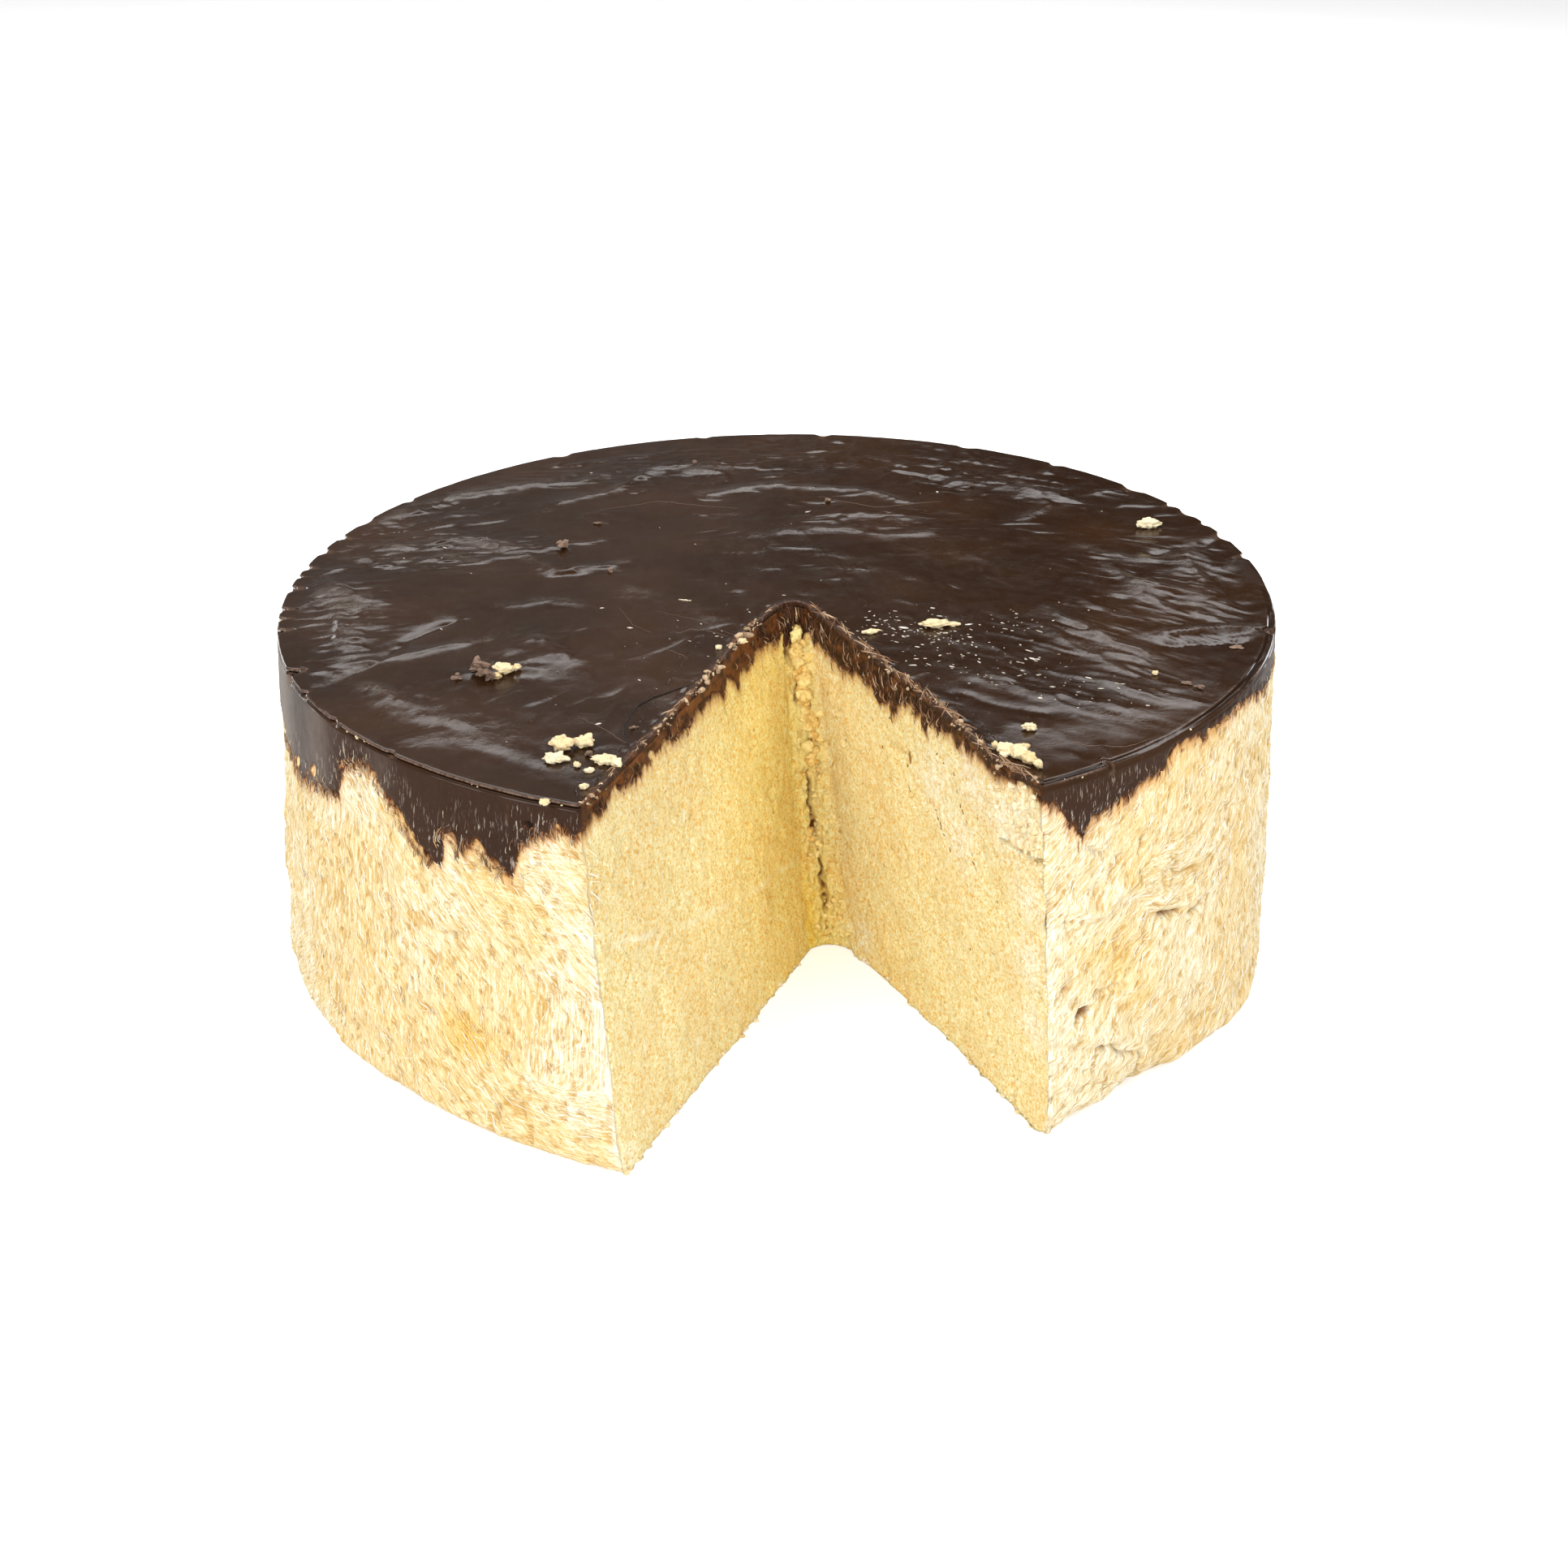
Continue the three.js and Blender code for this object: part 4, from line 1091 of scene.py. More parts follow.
# A node tree with short calls for the nodes used here. A colour may be given by its name in the finish.
class NodeDesk:
    def __init__(self, tree, finish=None):
        self.tree = tree
        self.finish = finish
        self.column = 0

    def add(self, kind, **values):
        node = self.tree.nodes.new(kind)
        node.location = (self.column * 190, 0)
        self.column += 1
        for key, value in values.items():
            setattr(node, key, value)
        return node

    def link(self, source, target):
        self.tree.links.new(source, target)

    def set(self, socket, value):
        if isinstance(value, bpy.types.NodeSocket):
            self.link(value, socket)
        else:
            socket.default_value = self.finish[value] if isinstance(value, str) else value

    def math(self, operation, *values):
        node = self.add("ShaderNodeMath", operation=operation)
        for socket, value in zip(node.inputs, values):
            self.set(socket, value)
        return node.outputs[0]

    def times(self, first, second):
        return self.math("MULTIPLY", first, second)

    def plus(self, first, second):
        return self.math("ADD", first, second)

    # first times factor, plus more
    def timesPlus(self, first, factor, more):
        return self.math("MULTIPLY_ADD", first, factor, more)

    def field(self, name, output="Fac"):
        return self.add("ShaderNodeAttribute", attribute_name=name).outputs[output]

    def noise(self, vector, detail=3.0, rough=0.55, distortion=0.0):
        node = self.add("ShaderNodeTexNoise")
        self.set(node.inputs["Vector"], vector)
        values = {"Scale": 1.0, "Detail": detail, "Roughness": rough, "Distortion": distortion}
        for label, value in values.items():
            self.set(node.inputs[label], value)
        return node.outputs["Fac"]

    # Where the surface is, in metres.
    def place(self):
        return self.add("ShaderNodeTexCoord").outputs["Object"]

    # Divides a place in metres by a size in millimetres for each axis.
    def sized(self, vector, *size):
        node = self.add("ShaderNodeVectorMath", operation="MULTIPLY")
        self.set(node.inputs[0], vector)
        node.inputs[1].default_value = [1000 / value for value in (size if len(size) == 3 else size * 3)]
        return node.outputs[0]

    def scaled(self, vector, factor):
        node = self.add("ShaderNodeVectorMath", operation="SCALE")
        self.set(node.inputs[0], vector)
        self.set(node.inputs["Scale"], factor)
        return node.outputs[0]

    def combined(self, *values):
        node = self.add("ShaderNodeCombineXYZ")
        for socket, value in zip(node.inputs, values):
            self.set(socket, value)
        return node.outputs[0]

    def span(self, value, low, high, outLow=0.0, outHigh=1.0):
        node = self.add("ShaderNodeMapRange", interpolation_type="SMOOTHSTEP")
        for socket, item in zip(node.inputs, (value, low, high, outLow, outHigh)):
            self.set(socket, item)
        return node.outputs[0]

    def mix(self, share, first, second, kind="MIX"):
        node = self.add("ShaderNodeMix", data_type="RGBA", blend_type=kind)
        for number, value in ((0, share), (6, first), (7, second)):
            self.set(node.inputs[number], value)
        return node.outputs[2]

    # Lays colours over a base, one by one: share, colour, and the kind of mix where it isn't plain.
    def layers(self, base, *rows):
        for share, colour, *kind in rows:
            base = self.mix(share, base, colour, *kind)
        return base

    def mixValue(self, share, first, second):
        node = self.add("ShaderNodeMix", data_type="FLOAT")
        for number, value in ((0, share), (2, first), (3, second)):
            self.set(node.inputs[number], value)
        return node.outputs[0]

    def ramp(self, value, stops):
        node = self.add("ShaderNodeValToRGB")
        ramp = node.color_ramp
        while len(ramp.elements) < len(stops):
            ramp.elements.new(0.5)
        for element, (position, colour) in zip(ramp.elements, stops):
            element.position = position
            element.color = self.finish[colour] if isinstance(colour, str) else colour
        self.set(node.inputs[0], value)
        return node.outputs["Color"]

    def bump(self, height, distance, strength=1.0):
        node = self.add("ShaderNodeBump")
        self.set(node.inputs["Height"], height)
        node.inputs["Distance"].default_value = distance * mm
        node.inputs["Strength"].default_value = strength
        return node.outputs[0]

    def group(self, tree, **values):
        node = self.add("ShaderNodeGroup")
        node.node_tree = tree
        for key, value in values.items():
            self.set(node.inputs[key], value)
        return node.outputs


def newGroup(name, inputs, outputs):
    tree = bpy.data.node_groups.new(name, "ShaderNodeTree")
    for label, kind, value in inputs:
        socket = tree.interface.new_socket(label, in_out="INPUT", socket_type=kind)
        if value is not None:
            socket.default_value = value
    for label in outputs:
        tree.interface.new_socket(label, in_out="OUTPUT", socket_type="NodeSocketFloat")
    desk = NodeDesk(tree)
    return tree, desk, desk.add("NodeGroupInput").outputs, desk.add("NodeGroupOutput").inputs


# Matted fibres that follow Lean, drawn in four directions over Place, in millimetres.
def makeFibreMat():
    tree, desk, given, made = newGroup("fibreMat", [
        ("Place", "NodeSocketVector", None), ("Lean", "NodeSocketVector", None),
        ("Width", "NodeSocketFloat", 0.5), ("Length", "NodeSocketFloat", 7.0)], ["Fibres", "Pores"])
    apart = desk.add("ShaderNodeSeparateXYZ")
    desk.link(given["Place"], apart.inputs[0])
    across, up = apart.outputs[0], apart.outputs[1]
    weights, fibres, pores = [], [], []
    for number in range(4):
        angle = number * math.pi / 4
        c, s = math.cos(angle), math.sin(angle)
        along = desk.plus(desk.times(across, c), desk.times(up, s))
        aside = desk.math("SUBTRACT", desk.times(up, c), desk.times(across, s))
        stretched = desk.math("DIVIDE", along, given["Length"])
        place = desk.combined(stretched, desk.math("DIVIDE", aside, given["Width"]), number * 7.0)
        wide = desk.combined(desk.times(along, 0.42), desk.times(aside, 0.95), number * 5.0 + 3.0)
        agree = desk.add("ShaderNodeVectorMath", operation="DOT_PRODUCT")
        desk.link(given["Lean"], agree.inputs[0])
        agree.inputs[1].default_value = (math.cos(2 * angle), math.sin(2 * angle), 0)
        weight = desk.plus(desk.math("MAXIMUM", agree.outputs["Value"], 0.0), 0.12)
        weights.append(weight)
        fibres.append(desk.times(weight, desk.noise(place, 3, 0.6, 0.3)))
        pores.append(desk.times(weight, desk.noise(wide, 1, 0.5)))
    total = desk.plus(desk.plus(weights[0], weights[1]), desk.plus(weights[2], weights[3]))
    for label, parts, low, high in (("Fibres", fibres, 0.36, 0.64), ("Pores", pores, 0.54, 0.66)):
        both = desk.plus(desk.plus(parts[0], parts[1]), desk.plus(parts[2], parts[3]))
        desk.link(desk.span(desk.math("DIVIDE", both, total), low, high), made[label])
    return tree


# Crystal grain with small pits. Size is in millimetres.
def makeSugarGrain():
    tree, desk, given, made = newGroup("sugarGrain", [
        ("Vector", "NodeSocketVector", None), ("Size", "NodeSocketFloat", 1.0)], ["Grain", "Pits", "Patches"])
    place = desk.scaled(given["Vector"], desk.math("DIVIDE", 1000.0, given["Size"]))
    cells = desk.add("ShaderNodeTexVoronoi")
    desk.link(place, cells.inputs["Vector"])
    cells.inputs["Scale"].default_value = 0.42
    pits = desk.span(cells.outputs["Distance"], 0.08, 0.3, 1.0, 0.0)
    chance = desk.span(desk.noise(desk.scaled(place, 0.3), 1), 0.56, 0.66)
    desk.link(desk.span(desk.noise(place, 4, 0.7, 0.4), 0.3, 0.7), made["Grain"])
    desk.link(desk.times(pits, chance), made["Pits"])
    desk.link(desk.span(desk.noise(desk.scaled(place, 0.06), 3, 0.6), 0.35, 0.68), made["Patches"])
    return tree


fibreMat = makeFibreMat()
sugarGrain = makeSugarGrain()


# A material with fixed values on its shader's own sockets.
def newMaterial(name, fixed, finish=None):
    material = bpy.data.materials.new(name)
    material.use_nodes = True
    material.node_tree.nodes.clear()
    desk = NodeDesk(material.node_tree, finish)
    shader = desk.add("ShaderNodeBsdfPrincipled")
    output = desk.add("ShaderNodeOutputMaterial")
    desk.link(shader.outputs[0], output.inputs[0])
    for label, value in fixed.items():
        shader.inputs[label].default_value = value
    return material, desk, shader.inputs


halvaFinish = palette(
    white=(239, 234, 217), light=(221, 206, 168), middle=(202, 174, 118), ochre=(246, 214, 124),
    pore=(184, 138, 62), cutWhite=(255, 250, 230), cutLight=(250, 238, 192), cutMiddle=(243, 220, 155),
    cutDark=(231, 174, 92), cutDeep=(255, 237, 131), cutOuter=(249, 248, 238), pitShade=(132, 84, 38),
    fringe=(196, 138, 78), stain=(110, 68, 38), cocoa=(52, 34, 25), lump=(252, 232, 152),
    crease=(200, 138, 56), crack=(150, 84, 34))
halvaShader = {
    "Roughness": 0.85, "Specular IOR Level": 0.15,
    "Subsurface Weight": 0.1, "Subsurface Radius": (1.0, 0.7, 0.4), "Subsurface Scale": 0.002,
}


# The outside: pale threads over cream, with painted ochre shade in the small pores.
def outsideColour(desk, fine, fibres):
    pores = desk.times(desk.field("pore"), desk.span(fine["Fibres"], 0.9, 0.2, 0.15, 0.6))
    return desk.layers(
        desk.ramp(fibres, [(0.2, "middle"), (0.5, "light"), (0.8, "white")]),
        (desk.times(desk.field("ochre"), 0.8), "ochre", "MULTIPLY"),
        (desk.times(fine["Pores"], 0.7), "pore"),
        (pores, "pore"),
        (desk.times(desk.field("ridge"), desk.span(fibres, 0.2, 0.7, 0.2, 0.9)), "white"))


# The cut: fine even grain with whiter grains and a few pits, with painted warm shade towards the inner end.
def cutColour(desk, grain, crumb):
    inward, lump = desk.field("inward"), desk.field("lump")
    both = desk.timesPlus(crumb["Grain"], 0.5, desk.times(grain["Grain"], 0.5))
    return desk.layers(
        desk.ramp(both, [(0.08, "cutDark"), (0.36, "cutMiddle"), (0.64, "cutLight")]),
        (desk.span(both, 0.68, 0.9, 0.0, 0.9), "cutWhite"),
        (desk.span(crumb["Patches"], 0.2, 0.9, 0.0, 0.16), "cutDark"),
        (desk.field("mark"), "cutWhite"),
        # painted shade and warm bounce light: paler out at the open end, warmer and darker deep in the notch
        (desk.span(inward, 0.5, 0.0, 0.0, 0.9), "cutOuter", "MULTIPLY"),
        (desk.times(inward, 0.62), "cutDeep", "MULTIPLY"),
        # painted shade in the small pits of the cut
        (desk.times(crumb["Pits"], 0.6), "pore"),
        (desk.times(desk.field("crumbled"), desk.span(crumb["Grain"], 0.2, 0.8, 0.2, 0.9)), "cutWhite"),
        # on the torn end: painted light on raised lumps, painted shade in the creases between them and in the
        # crack
        (desk.span(lump, 0.3, 1.4, 0.0, 0.6), "lump"),
        (desk.times(desk.field("torn"), 0.9), desk.mix(desk.span(lump, 0.8, 2.0), "crease", "lump")),
        (desk.span(lump, -0.5, -2.4, 0.0, 0.95), "crack"))


# How far chocolate has run into the halva, down the fibres, in millimetres from its edge.
def chocolateReach(desk, place, cut, broad):
    sideRuns = desk.timesPlus(broad["Fibres"], 0.5, desk.noise(desk.sized(place, 1.1, 1.1, 5.0), 4, 0.65))
    cutRuns = desk.noise(desk.sized(place, 1.6, 1.6, 5.0), 3, 0.6)
    runs = desk.mixValue(cut, desk.times(sideRuns, 0.66), cutRuns)
    swing = desk.span(desk.noise(desk.sized(place, 9.0), 1), 0.35, 0.65, 2.5, 8.0)
    return desk.plus(desk.field("edge"), desk.times(desk.math("SUBTRACT", runs, 0.5), swing))


def makeHalvaMaterial():
    material, desk, shader = newMaterial("pressedHalva", halvaShader, halvaFinish)
    flat, lean = desk.field("place", "Vector"), desk.field("lean", "Vector")
    place, cut = desk.place(), desk.field("cut")
    fine = desk.group(fibreMat, Place=flat, Lean=lean, Width=0.34, Length=4.0)
    broad = desk.group(fibreMat, Place=flat, Lean=lean, Width=1.2, Length=9.0)
    grain = desk.group(sugarGrain, Vector=place, Size=0.55)
    crumb = desk.group(sugarGrain, Vector=place, Size=1.1)
    fibres = desk.timesPlus(fine["Fibres"], 0.55, desk.times(broad["Fibres"], 0.3))
    fibres = desk.timesPlus(grain["Grain"], 0.15, fibres)
    stained = chocolateReach(desk, place, cut, broad)
    colour = desk.layers(
        desk.mix(cut, outsideColour(desk, fine, fibres), cutColour(desk, grain, crumb)),
        (desk.span(desk.field("pit"), 0.5, 2.2, 0.0, 0.85), "pitShade"),
        (desk.span(stained, -3.6, -0.6, 0.0, 0.6), "fringe"),
        (desk.span(stained, -1.6, 0.3), "stain"),
        (desk.span(stained, -0.2, 1.0), "cocoa"))
    desk.link(colour, shader["Base Color"])
    sideBump = desk.timesPlus(fine["Pores"], -0.9, fibres)
    cutBump = desk.timesPlus(grain["Pits"], -0.8, grain["Grain"])
    desk.link(desk.bump(desk.mixValue(cut, sideBump, cutBump), 0.35, 0.8), shader["Normal"])
    return material


chocolateFinish = palette(
    dark=(38, 22, 10), warm=(51, 31, 15), skirt=(60, 43, 36), bloom=(150, 137, 126), cutDark=(52, 30, 16),
    cutOrange=(108, 62, 25), cutLight=(172, 134, 104), fringe=(176, 122, 74), stain=(92, 56, 34),
    cream=(232, 198, 140), chipEdge=(104, 78, 62), seam=(24, 15, 11), worn=(118, 94, 80),
    scratch=(158, 146, 134))
chocolateShader = {"Specular IOR Level": 0.2}
chocolateGloss = {"least": 0.12, "most": 0.22, "onCut": 0.5}  # roughness


# The smooth top and skirt: warm and dark clouds, painted sheen, and short pale scratches low on the skirt.
def filmColour(desk, place, sheen, streak):
    edge, drop = desk.field("edge"), desk.field("drop")
    clouds = desk.noise(desk.sized(place, 42.0), 3, 0.6)
    # painted sheen: crisp grey patches on the top, upright bands on the skirt
    patch = desk.span(desk.timesPlus(streak, 1.1, sheen), 0.86, 1.16)
    scuff = desk.span(desk.noise(desk.sized(place, 1.2), 4, 0.7, 0.6), 0.35, 0.6, 0.2, 1.0)
    onTop = desk.times(desk.times(patch, scuff), 0.09)
    onSkirt = desk.span(desk.plus(sheen, desk.times(streak, 0.5)), 0.2, 1.6, 0.0, 0.66)
    marks = desk.span(desk.noise(desk.sized(place, 0.42, 0.42, 3.0), 3, 0.6), 0.565, 0.685)
    where = desk.times(desk.span(edge, 6.0, 13.0, 1.0, 0.0), desk.span(drop, 1.2, 4.0))
    where = desk.times(where, desk.span(desk.noise(desk.sized(place, 7.0), 2), 0.34, 0.56))
    return desk.layers(
        desk.mix(desk.span(clouds, 0.35, 0.7), "dark", "warm"),
        (desk.span(drop, 0.8, 2.0, 0.0, 0.35), "skirt"),
        (desk.mixValue(desk.span(drop, 0.6, 1.5), onTop, onSkirt), "bloom"),
        (desk.times(marks, where), "scratch"))


# The cut edge: matt, drawn into threads, with orange smears.
def bandColour(desk, place, strands):
    gold = desk.field("gold")
    smudge = desk.timesPlus(gold, 0.13, desk.noise(desk.sized(place, 5.0, 5.0, 2.6), 4, 0.6))
    lit = desk.timesPlus(gold, -0.08, strands)
    return desk.layers(
        desk.mix(desk.span(smudge, 0.5, 0.72), "cutDark", "cutOrange"),
        (desk.span(lit, 0.56, 0.74, 0.0, 0.7), "cutLight"))


# Over both: thin places, the feathered lower edge and chips; painted shade in the seam under the rim,
# in the hole and in deep chips, and painted highlights on the lines along the rim.
def wornColour(desk, place, base, strands):
    bare, edge, chip, seam = (desk.field(name) for name in ("bare", "edge", "chip", "seam"))
    runs = desk.noise(desk.sized(place, 0.9, 0.9, 4.5), 4, 0.65)
    thin = desk.plus(bare, desk.timesPlus(runs, 1.2, -0.6))
    frayed = desk.timesPlus(runs, 5.0, edge)
    rimMark = desk.times(desk.span(chip, 0.1, 0.5), desk.span(chip, 0.6, 1.1, 1.0, 0.0))
    # painted highlights on the pale lines along the rim
    paler = desk.times(desk.span(seam, 0.1, 0.6), desk.span(strands, 0.35, 0.6, 0.2, 0.9))
    return desk.layers(
        base,
        (desk.span(thin, 0.12, 0.4, 0.0, 0.9), "stain"),
        (desk.span(thin, 0.35, 0.6, 0.0, 0.95), "fringe"),
        (desk.span(thin, 0.6, 0.95), "cream"),
        (desk.span(frayed, 1.9, 3.6, 0.85, 0.0), "stain"),
        (desk.times(rimMark, 0.35), "chipEdge"),
        # painted shade in deep chips, then painted highlights and shade along the rim's seam and in the hole
        (desk.span(chip, 0.9, 1.8, 0.0, 0.7), "seam"),
        (paler, "worn"),
        (desk.span(seam, -0.3, -0.8, 0.0, 0.9), "seam"))


def makeChocolateMaterial():
    material, desk, shader = newMaterial("darkChocolate", chocolateShader, chocolateFinish)
    place, cut, sheen = desk.place(), desk.field("cut"), desk.field("sheen")
    fine = desk.noise(desk.sized(place, 0.7), 4, 0.7)
    smear = desk.noise(desk.sized(place, 6.0), 5, 0.7, 0.8)
    streak = desk.noise(desk.sized(place, 3.6), 5, 0.7, 1.6)
    strands = desk.noise(desk.sized(place, 0.8, 0.8, 3.0), 4, 0.7, 0.5)
    both = desk.mix(cut, filmColour(desk, place, sheen, streak), bandColour(desk, place, strands))
    desk.link(wornColour(desk, place, both, strands), shader["Base Color"])
    rough = desk.span(smear, 0.3, 0.75, chocolateGloss["most"], chocolateGloss["least"])
    desk.link(desk.math("MAXIMUM", rough, desk.times(cut, chocolateGloss["onCut"])), shader["Roughness"])
    grainy = desk.timesPlus(fine, 0.06, desk.times(smear, 0.35))
    rippled = desk.times(desk.times(streak, sheen), 1.2)
    threads = desk.times(desk.times(strands, cut), 3.0)
    desk.link(desk.bump(desk.plus(desk.plus(grainy, rippled), threads), 0.3, 0.75), shader["Normal"])
    return material


def makeCrumbMaterial(name, light, dark, roughness):
    material, desk, shader = newMaterial(name, {"Roughness": roughness, "Specular IOR Level": 0.25})
    grain = desk.group(sugarGrain, Vector=desk.place(), Size=0.7)
    share = desk.timesPlus(desk.field("tone"), 0.6, desk.times(grain["Grain"], 0.4))
    desk.link(desk.mix(share, dark, light), shader["Base Color"])
    desk.link(desk.bump(grain["Grain"], 0.25, 0.7), shader["Normal"])
    return material


def makeThreadMaterial(name, stops, roughness):
    material, desk, shader = newMaterial(name, {"Roughness": roughness, "Specular IOR Level": 0.3})
    desk.link(desk.ramp(desk.field("tone"), stops), shader["Base Color"])
    grain = desk.group(sugarGrain, Vector=desk.place(), Size=0.5)
    desk.link(desk.bump(grain["Grain"], 0.12, 0.5), shader["Normal"])
    return material


# Loose threads and crumbs.

# Three-sided tubes along many paths at once. paths and normals: count by steps by 3.
def threadMesh(name, paths, normals, width, tone, material):
    count, steps = paths.shape[:2]
    tangent = np.gradient(paths, axis=1)
    tangent /= np.linalg.norm(tangent, axis=-1, keepdims=True) + 1e-9
    sideways = np.cross(tangent, normals)
    sideways /= np.linalg.norm(sideways, axis=-1, keepdims=True) + 1e-9
    upwards = np.cross(sideways, tangent)
    taper = np.sin(np.linspace(0.15, math.pi - 0.15, steps)) ** 0.4
    half = (width[:, None] * taper[None] / 2)[..., None]
    thirds = (math.pi / 2, math.pi * 7 / 6, math.pi * 11 / 6)
    corners = [sideways * math.cos(angle) + upwards * math.sin(angle) for angle in thirds]
    rings = np.stack([paths + corner * half for corner in corners], axis=2)
    index = np.arange(count * steps * 3).reshape(count, steps, 3)
    beside = np.roll(index, -1, axis=2)
    walls = np.stack([index[:, :-1], index[:, 1:], beside[:, 1:], beside[:, :-1]], axis=-1).reshape(-1, 4)
    ends = np.concatenate([index[:, 0], index[:, -1, ::-1]])
    mesh = newMesh(name, rings.reshape(-1, 3), [walls, ends])
    addField(mesh, "tone", np.repeat(tone, steps * 3)[:, None])
    addPiece(name, mesh, material, count)


# Threads all over the outside: where they start, in degrees and height, and the degrees they stay between.
sugarThreads = {
    "count": 11300, "steps": 4, "long": (1.8, 5.7), "width": (0.13, 0.29), "lift": 0.1,
    "swing": 0.5, "bend": 0.3, "loose": 0.012, "looseLift": 1.0,
    "around": (-62, 255.5), "heights": (1.5, 73), "between": (-60.9, 254.2), "underSkirt": 0.6,
}


# Paths over the outside, one row per thread. wayAt gives the direction for a step, an arc and a height.
def sidePaths(arc, z, step, steps, wayAt):
    paths = np.zeros((len(arc), steps, 2))
    for k in range(steps):
        paths[:, k] = np.c_[arc, z]
        way = wayAt(k, arc, z)
        arc = arc + np.cos(way) * step
        z = z + np.sin(way) * step
    return paths[..., 0], paths[..., 1]


def ontoSide(arc, z, lift):
    turned = np.degrees(arc / halvaRound["footRadius"])
    zSafe = np.clip(z, 0.3, 76)
    covered = smooth((zSafe - rimHeight(turned) + skirtDepth(turned)) / 0.8)
    relief = blend(sideHeight(turned, zSafe), chocolateCover["proud"], covered)
    places = withHeight(onCircle(turned, sideRadius(turned, zSafe) + relief + lift), zSafe)
    return turned, places, withHeight(onCircle(turned, 1.0), np.zeros(zSafe.shape))


def buildSugarThreads():
    random = np.random.default_rng(91)
    kind = sugarThreads
    count, steps = kind["count"], kind["steps"]
    arc = arcAt(random.uniform(*kind["around"], count))
    z = random.uniform(*kind["heights"], count)
    step = random.uniform(*kind["long"], count) / steps
    swing, bend = random.normal(0, kind["swing"], count), random.normal(0, kind["bend"], count)
    side = random.choice([0, math.pi], count)

    def wayAt(k, arcNow, zNow):
        cosTwice, sinTwice = fibreLean(arcNow, zNow)
        lean = 0.5 * np.arctan2(sinTwice, cosTwice) + side
        return lean + swing + bend * (k / steps - 0.5)

    arcPath, zPath = sidePaths(arc, z, step, steps, wayAt)
    arch = np.sin(np.linspace(0, math.pi, steps))[None]
    lift = arch * kind["lift"] * random.uniform(0.3, 1.6, (count, 1)) - 0.04
    loose = (random.random(count) < kind["loose"])[:, None] * np.linspace(0, 1, steps)[None] ** 2
    lift = lift + loose * random.uniform(0.3, 1, (count, 1)) * kind["looseLift"]
    turned, places, normals = ontoSide(arcPath, zPath, lift)
    below = rimHeight(turned) - zPath - skirtDepth(turned)
    first, last = kind["between"]
    within = (turned > first) & (turned < last) & (below > kind["underSkirt"]) & (zPath > 0.4)
    keep = (within & (pitDepth(turned, zPath) < 0.4)).all(axis=1)
    width = random.uniform(*kind["width"], count)[keep]
    tone = random.random(count)[keep]
    finish = [(0.0, halvaFinish["middle"]), (0.35, halvaFinish["light"]), (0.8, halvaFinish["white"])]
    material = makeThreadMaterial("sugarThread", finish, 0.7)
    threadMesh("sugarThreads", places[keep], normals[keep], width, tone, material)


# Threads at the lower edge of the skirt: strands of chocolate that hang, and pale ones that stand up.
skirtThreads = {
    "dark": {
        "slot": "chocolate", "count": 620, "long": (0.8, 3.4), "width": (0.1, 0.28),
        "stops": rampStops((0.0, 84, 56, 38), (0.4, 138, 94, 60), (1.0, 196, 150, 102))},
    "pale": {
        "slot": "halva", "count": 560, "long": (0.6, 3.0), "width": (0.08, 0.18),
        "stops": rampStops((0.0, 112, 94, 80), (0.5, 168, 148, 124), (1.0, 222, 206, 176))},
}


# More of them hang in front. Degrees, and millimetres that they stay below the top.
skirtSpread = {
    "frontShare": 0.55, "front": (-160, -105), "around": (-62, 200), "between": (-62.2, 251.5),
    "underRim": 1.6, "steps": 5,
}


def buildSkirtThreads():
    random = np.random.default_rng(93)
    spread = skirtSpread
    steps = spread["steps"]
    first, last = spread["between"]
    for name, kind in skirtThreads.items():
        count = kind["count"]
        front = random.random(count) < spread["frontShare"]
        inFront, around = (random.uniform(*spread[name], count) for name in ("front", "around"))
        degrees = np.where(front, inFront % 360, around)
        onEdge, above = random.uniform(-0.6, 1.6, count), random.exponential(1.5, count) - 0.9
        start = onEdge if name == "dark" else above
        z = rimHeight(degrees) - skirtDepth(degrees) + start
        lean = -math.pi / 2 + random.normal(0, 0.24, count)
        bend = random.normal(0, 0.35, count)
        long = random.uniform(*kind["long"], count)
        if name == "pale":
            long = np.where(start > 1.2, np.minimum(long, 1.8), long)
            lean = np.where(start > 1.2, -math.pi / 2 + random.normal(0, 0.08, count), lean)
        arcPath, zPath = sidePaths(
            arcAt(degrees), z, long / steps, steps, lambda k, arc, z: lean + bend * k / steps)
        lift = 0.08 + 0.3 * np.sin(np.linspace(0, math.pi, steps))[None] * random.uniform(0, 1, (count, 1))
        turned, places, normals = ontoSide(arcPath, zPath, lift)
        under = zPath < rimHeight(turned) - spread["underRim"]
        keep = ((turned > first) & (turned < last) & under).all(axis=1)
        width = random.uniform(*kind["width"], count)[keep]
        tone = random.random(count)[keep]
        material = makeThreadMaterial(name + "Fringe", kind["stops"], 0.6)
        threadMesh(name + "Fringe", places[keep], normals[keep], width, tone, material)


# Values of a grid at fractional rows and columns, for any number of places.
def sampleGrid(grid, row, column):
    row = np.clip(row, 0, grid.shape[0] - 1.001)
    column = column % columnCount
    low, left = row.astype(int), column.astype(int)
    right = (left + 1) % columnCount
    up, across = (row - low)[..., None], (column - left)[..., None]
    lower = blend(grid[low, left], grid[low, right], across)
    upper = blend(grid[low + 1, left], grid[low + 1, right], across)
    return blend(lower, upper, up)


# A place and the direction out of the surface there.
def onGrid(grid, normals, row, column):
    row, column = np.array([row]), np.array([column])
    return sampleGrid(grid, row, column)[0], sampleGrid(normals, row, column)[0]


def cutColumn(side, along):
    first = np.argmax(columnKind == (1 if side < 0 else 3))
    face = meshDetail["face"]
    return first + (1 - along if side < 0 else along) * (face - 1)


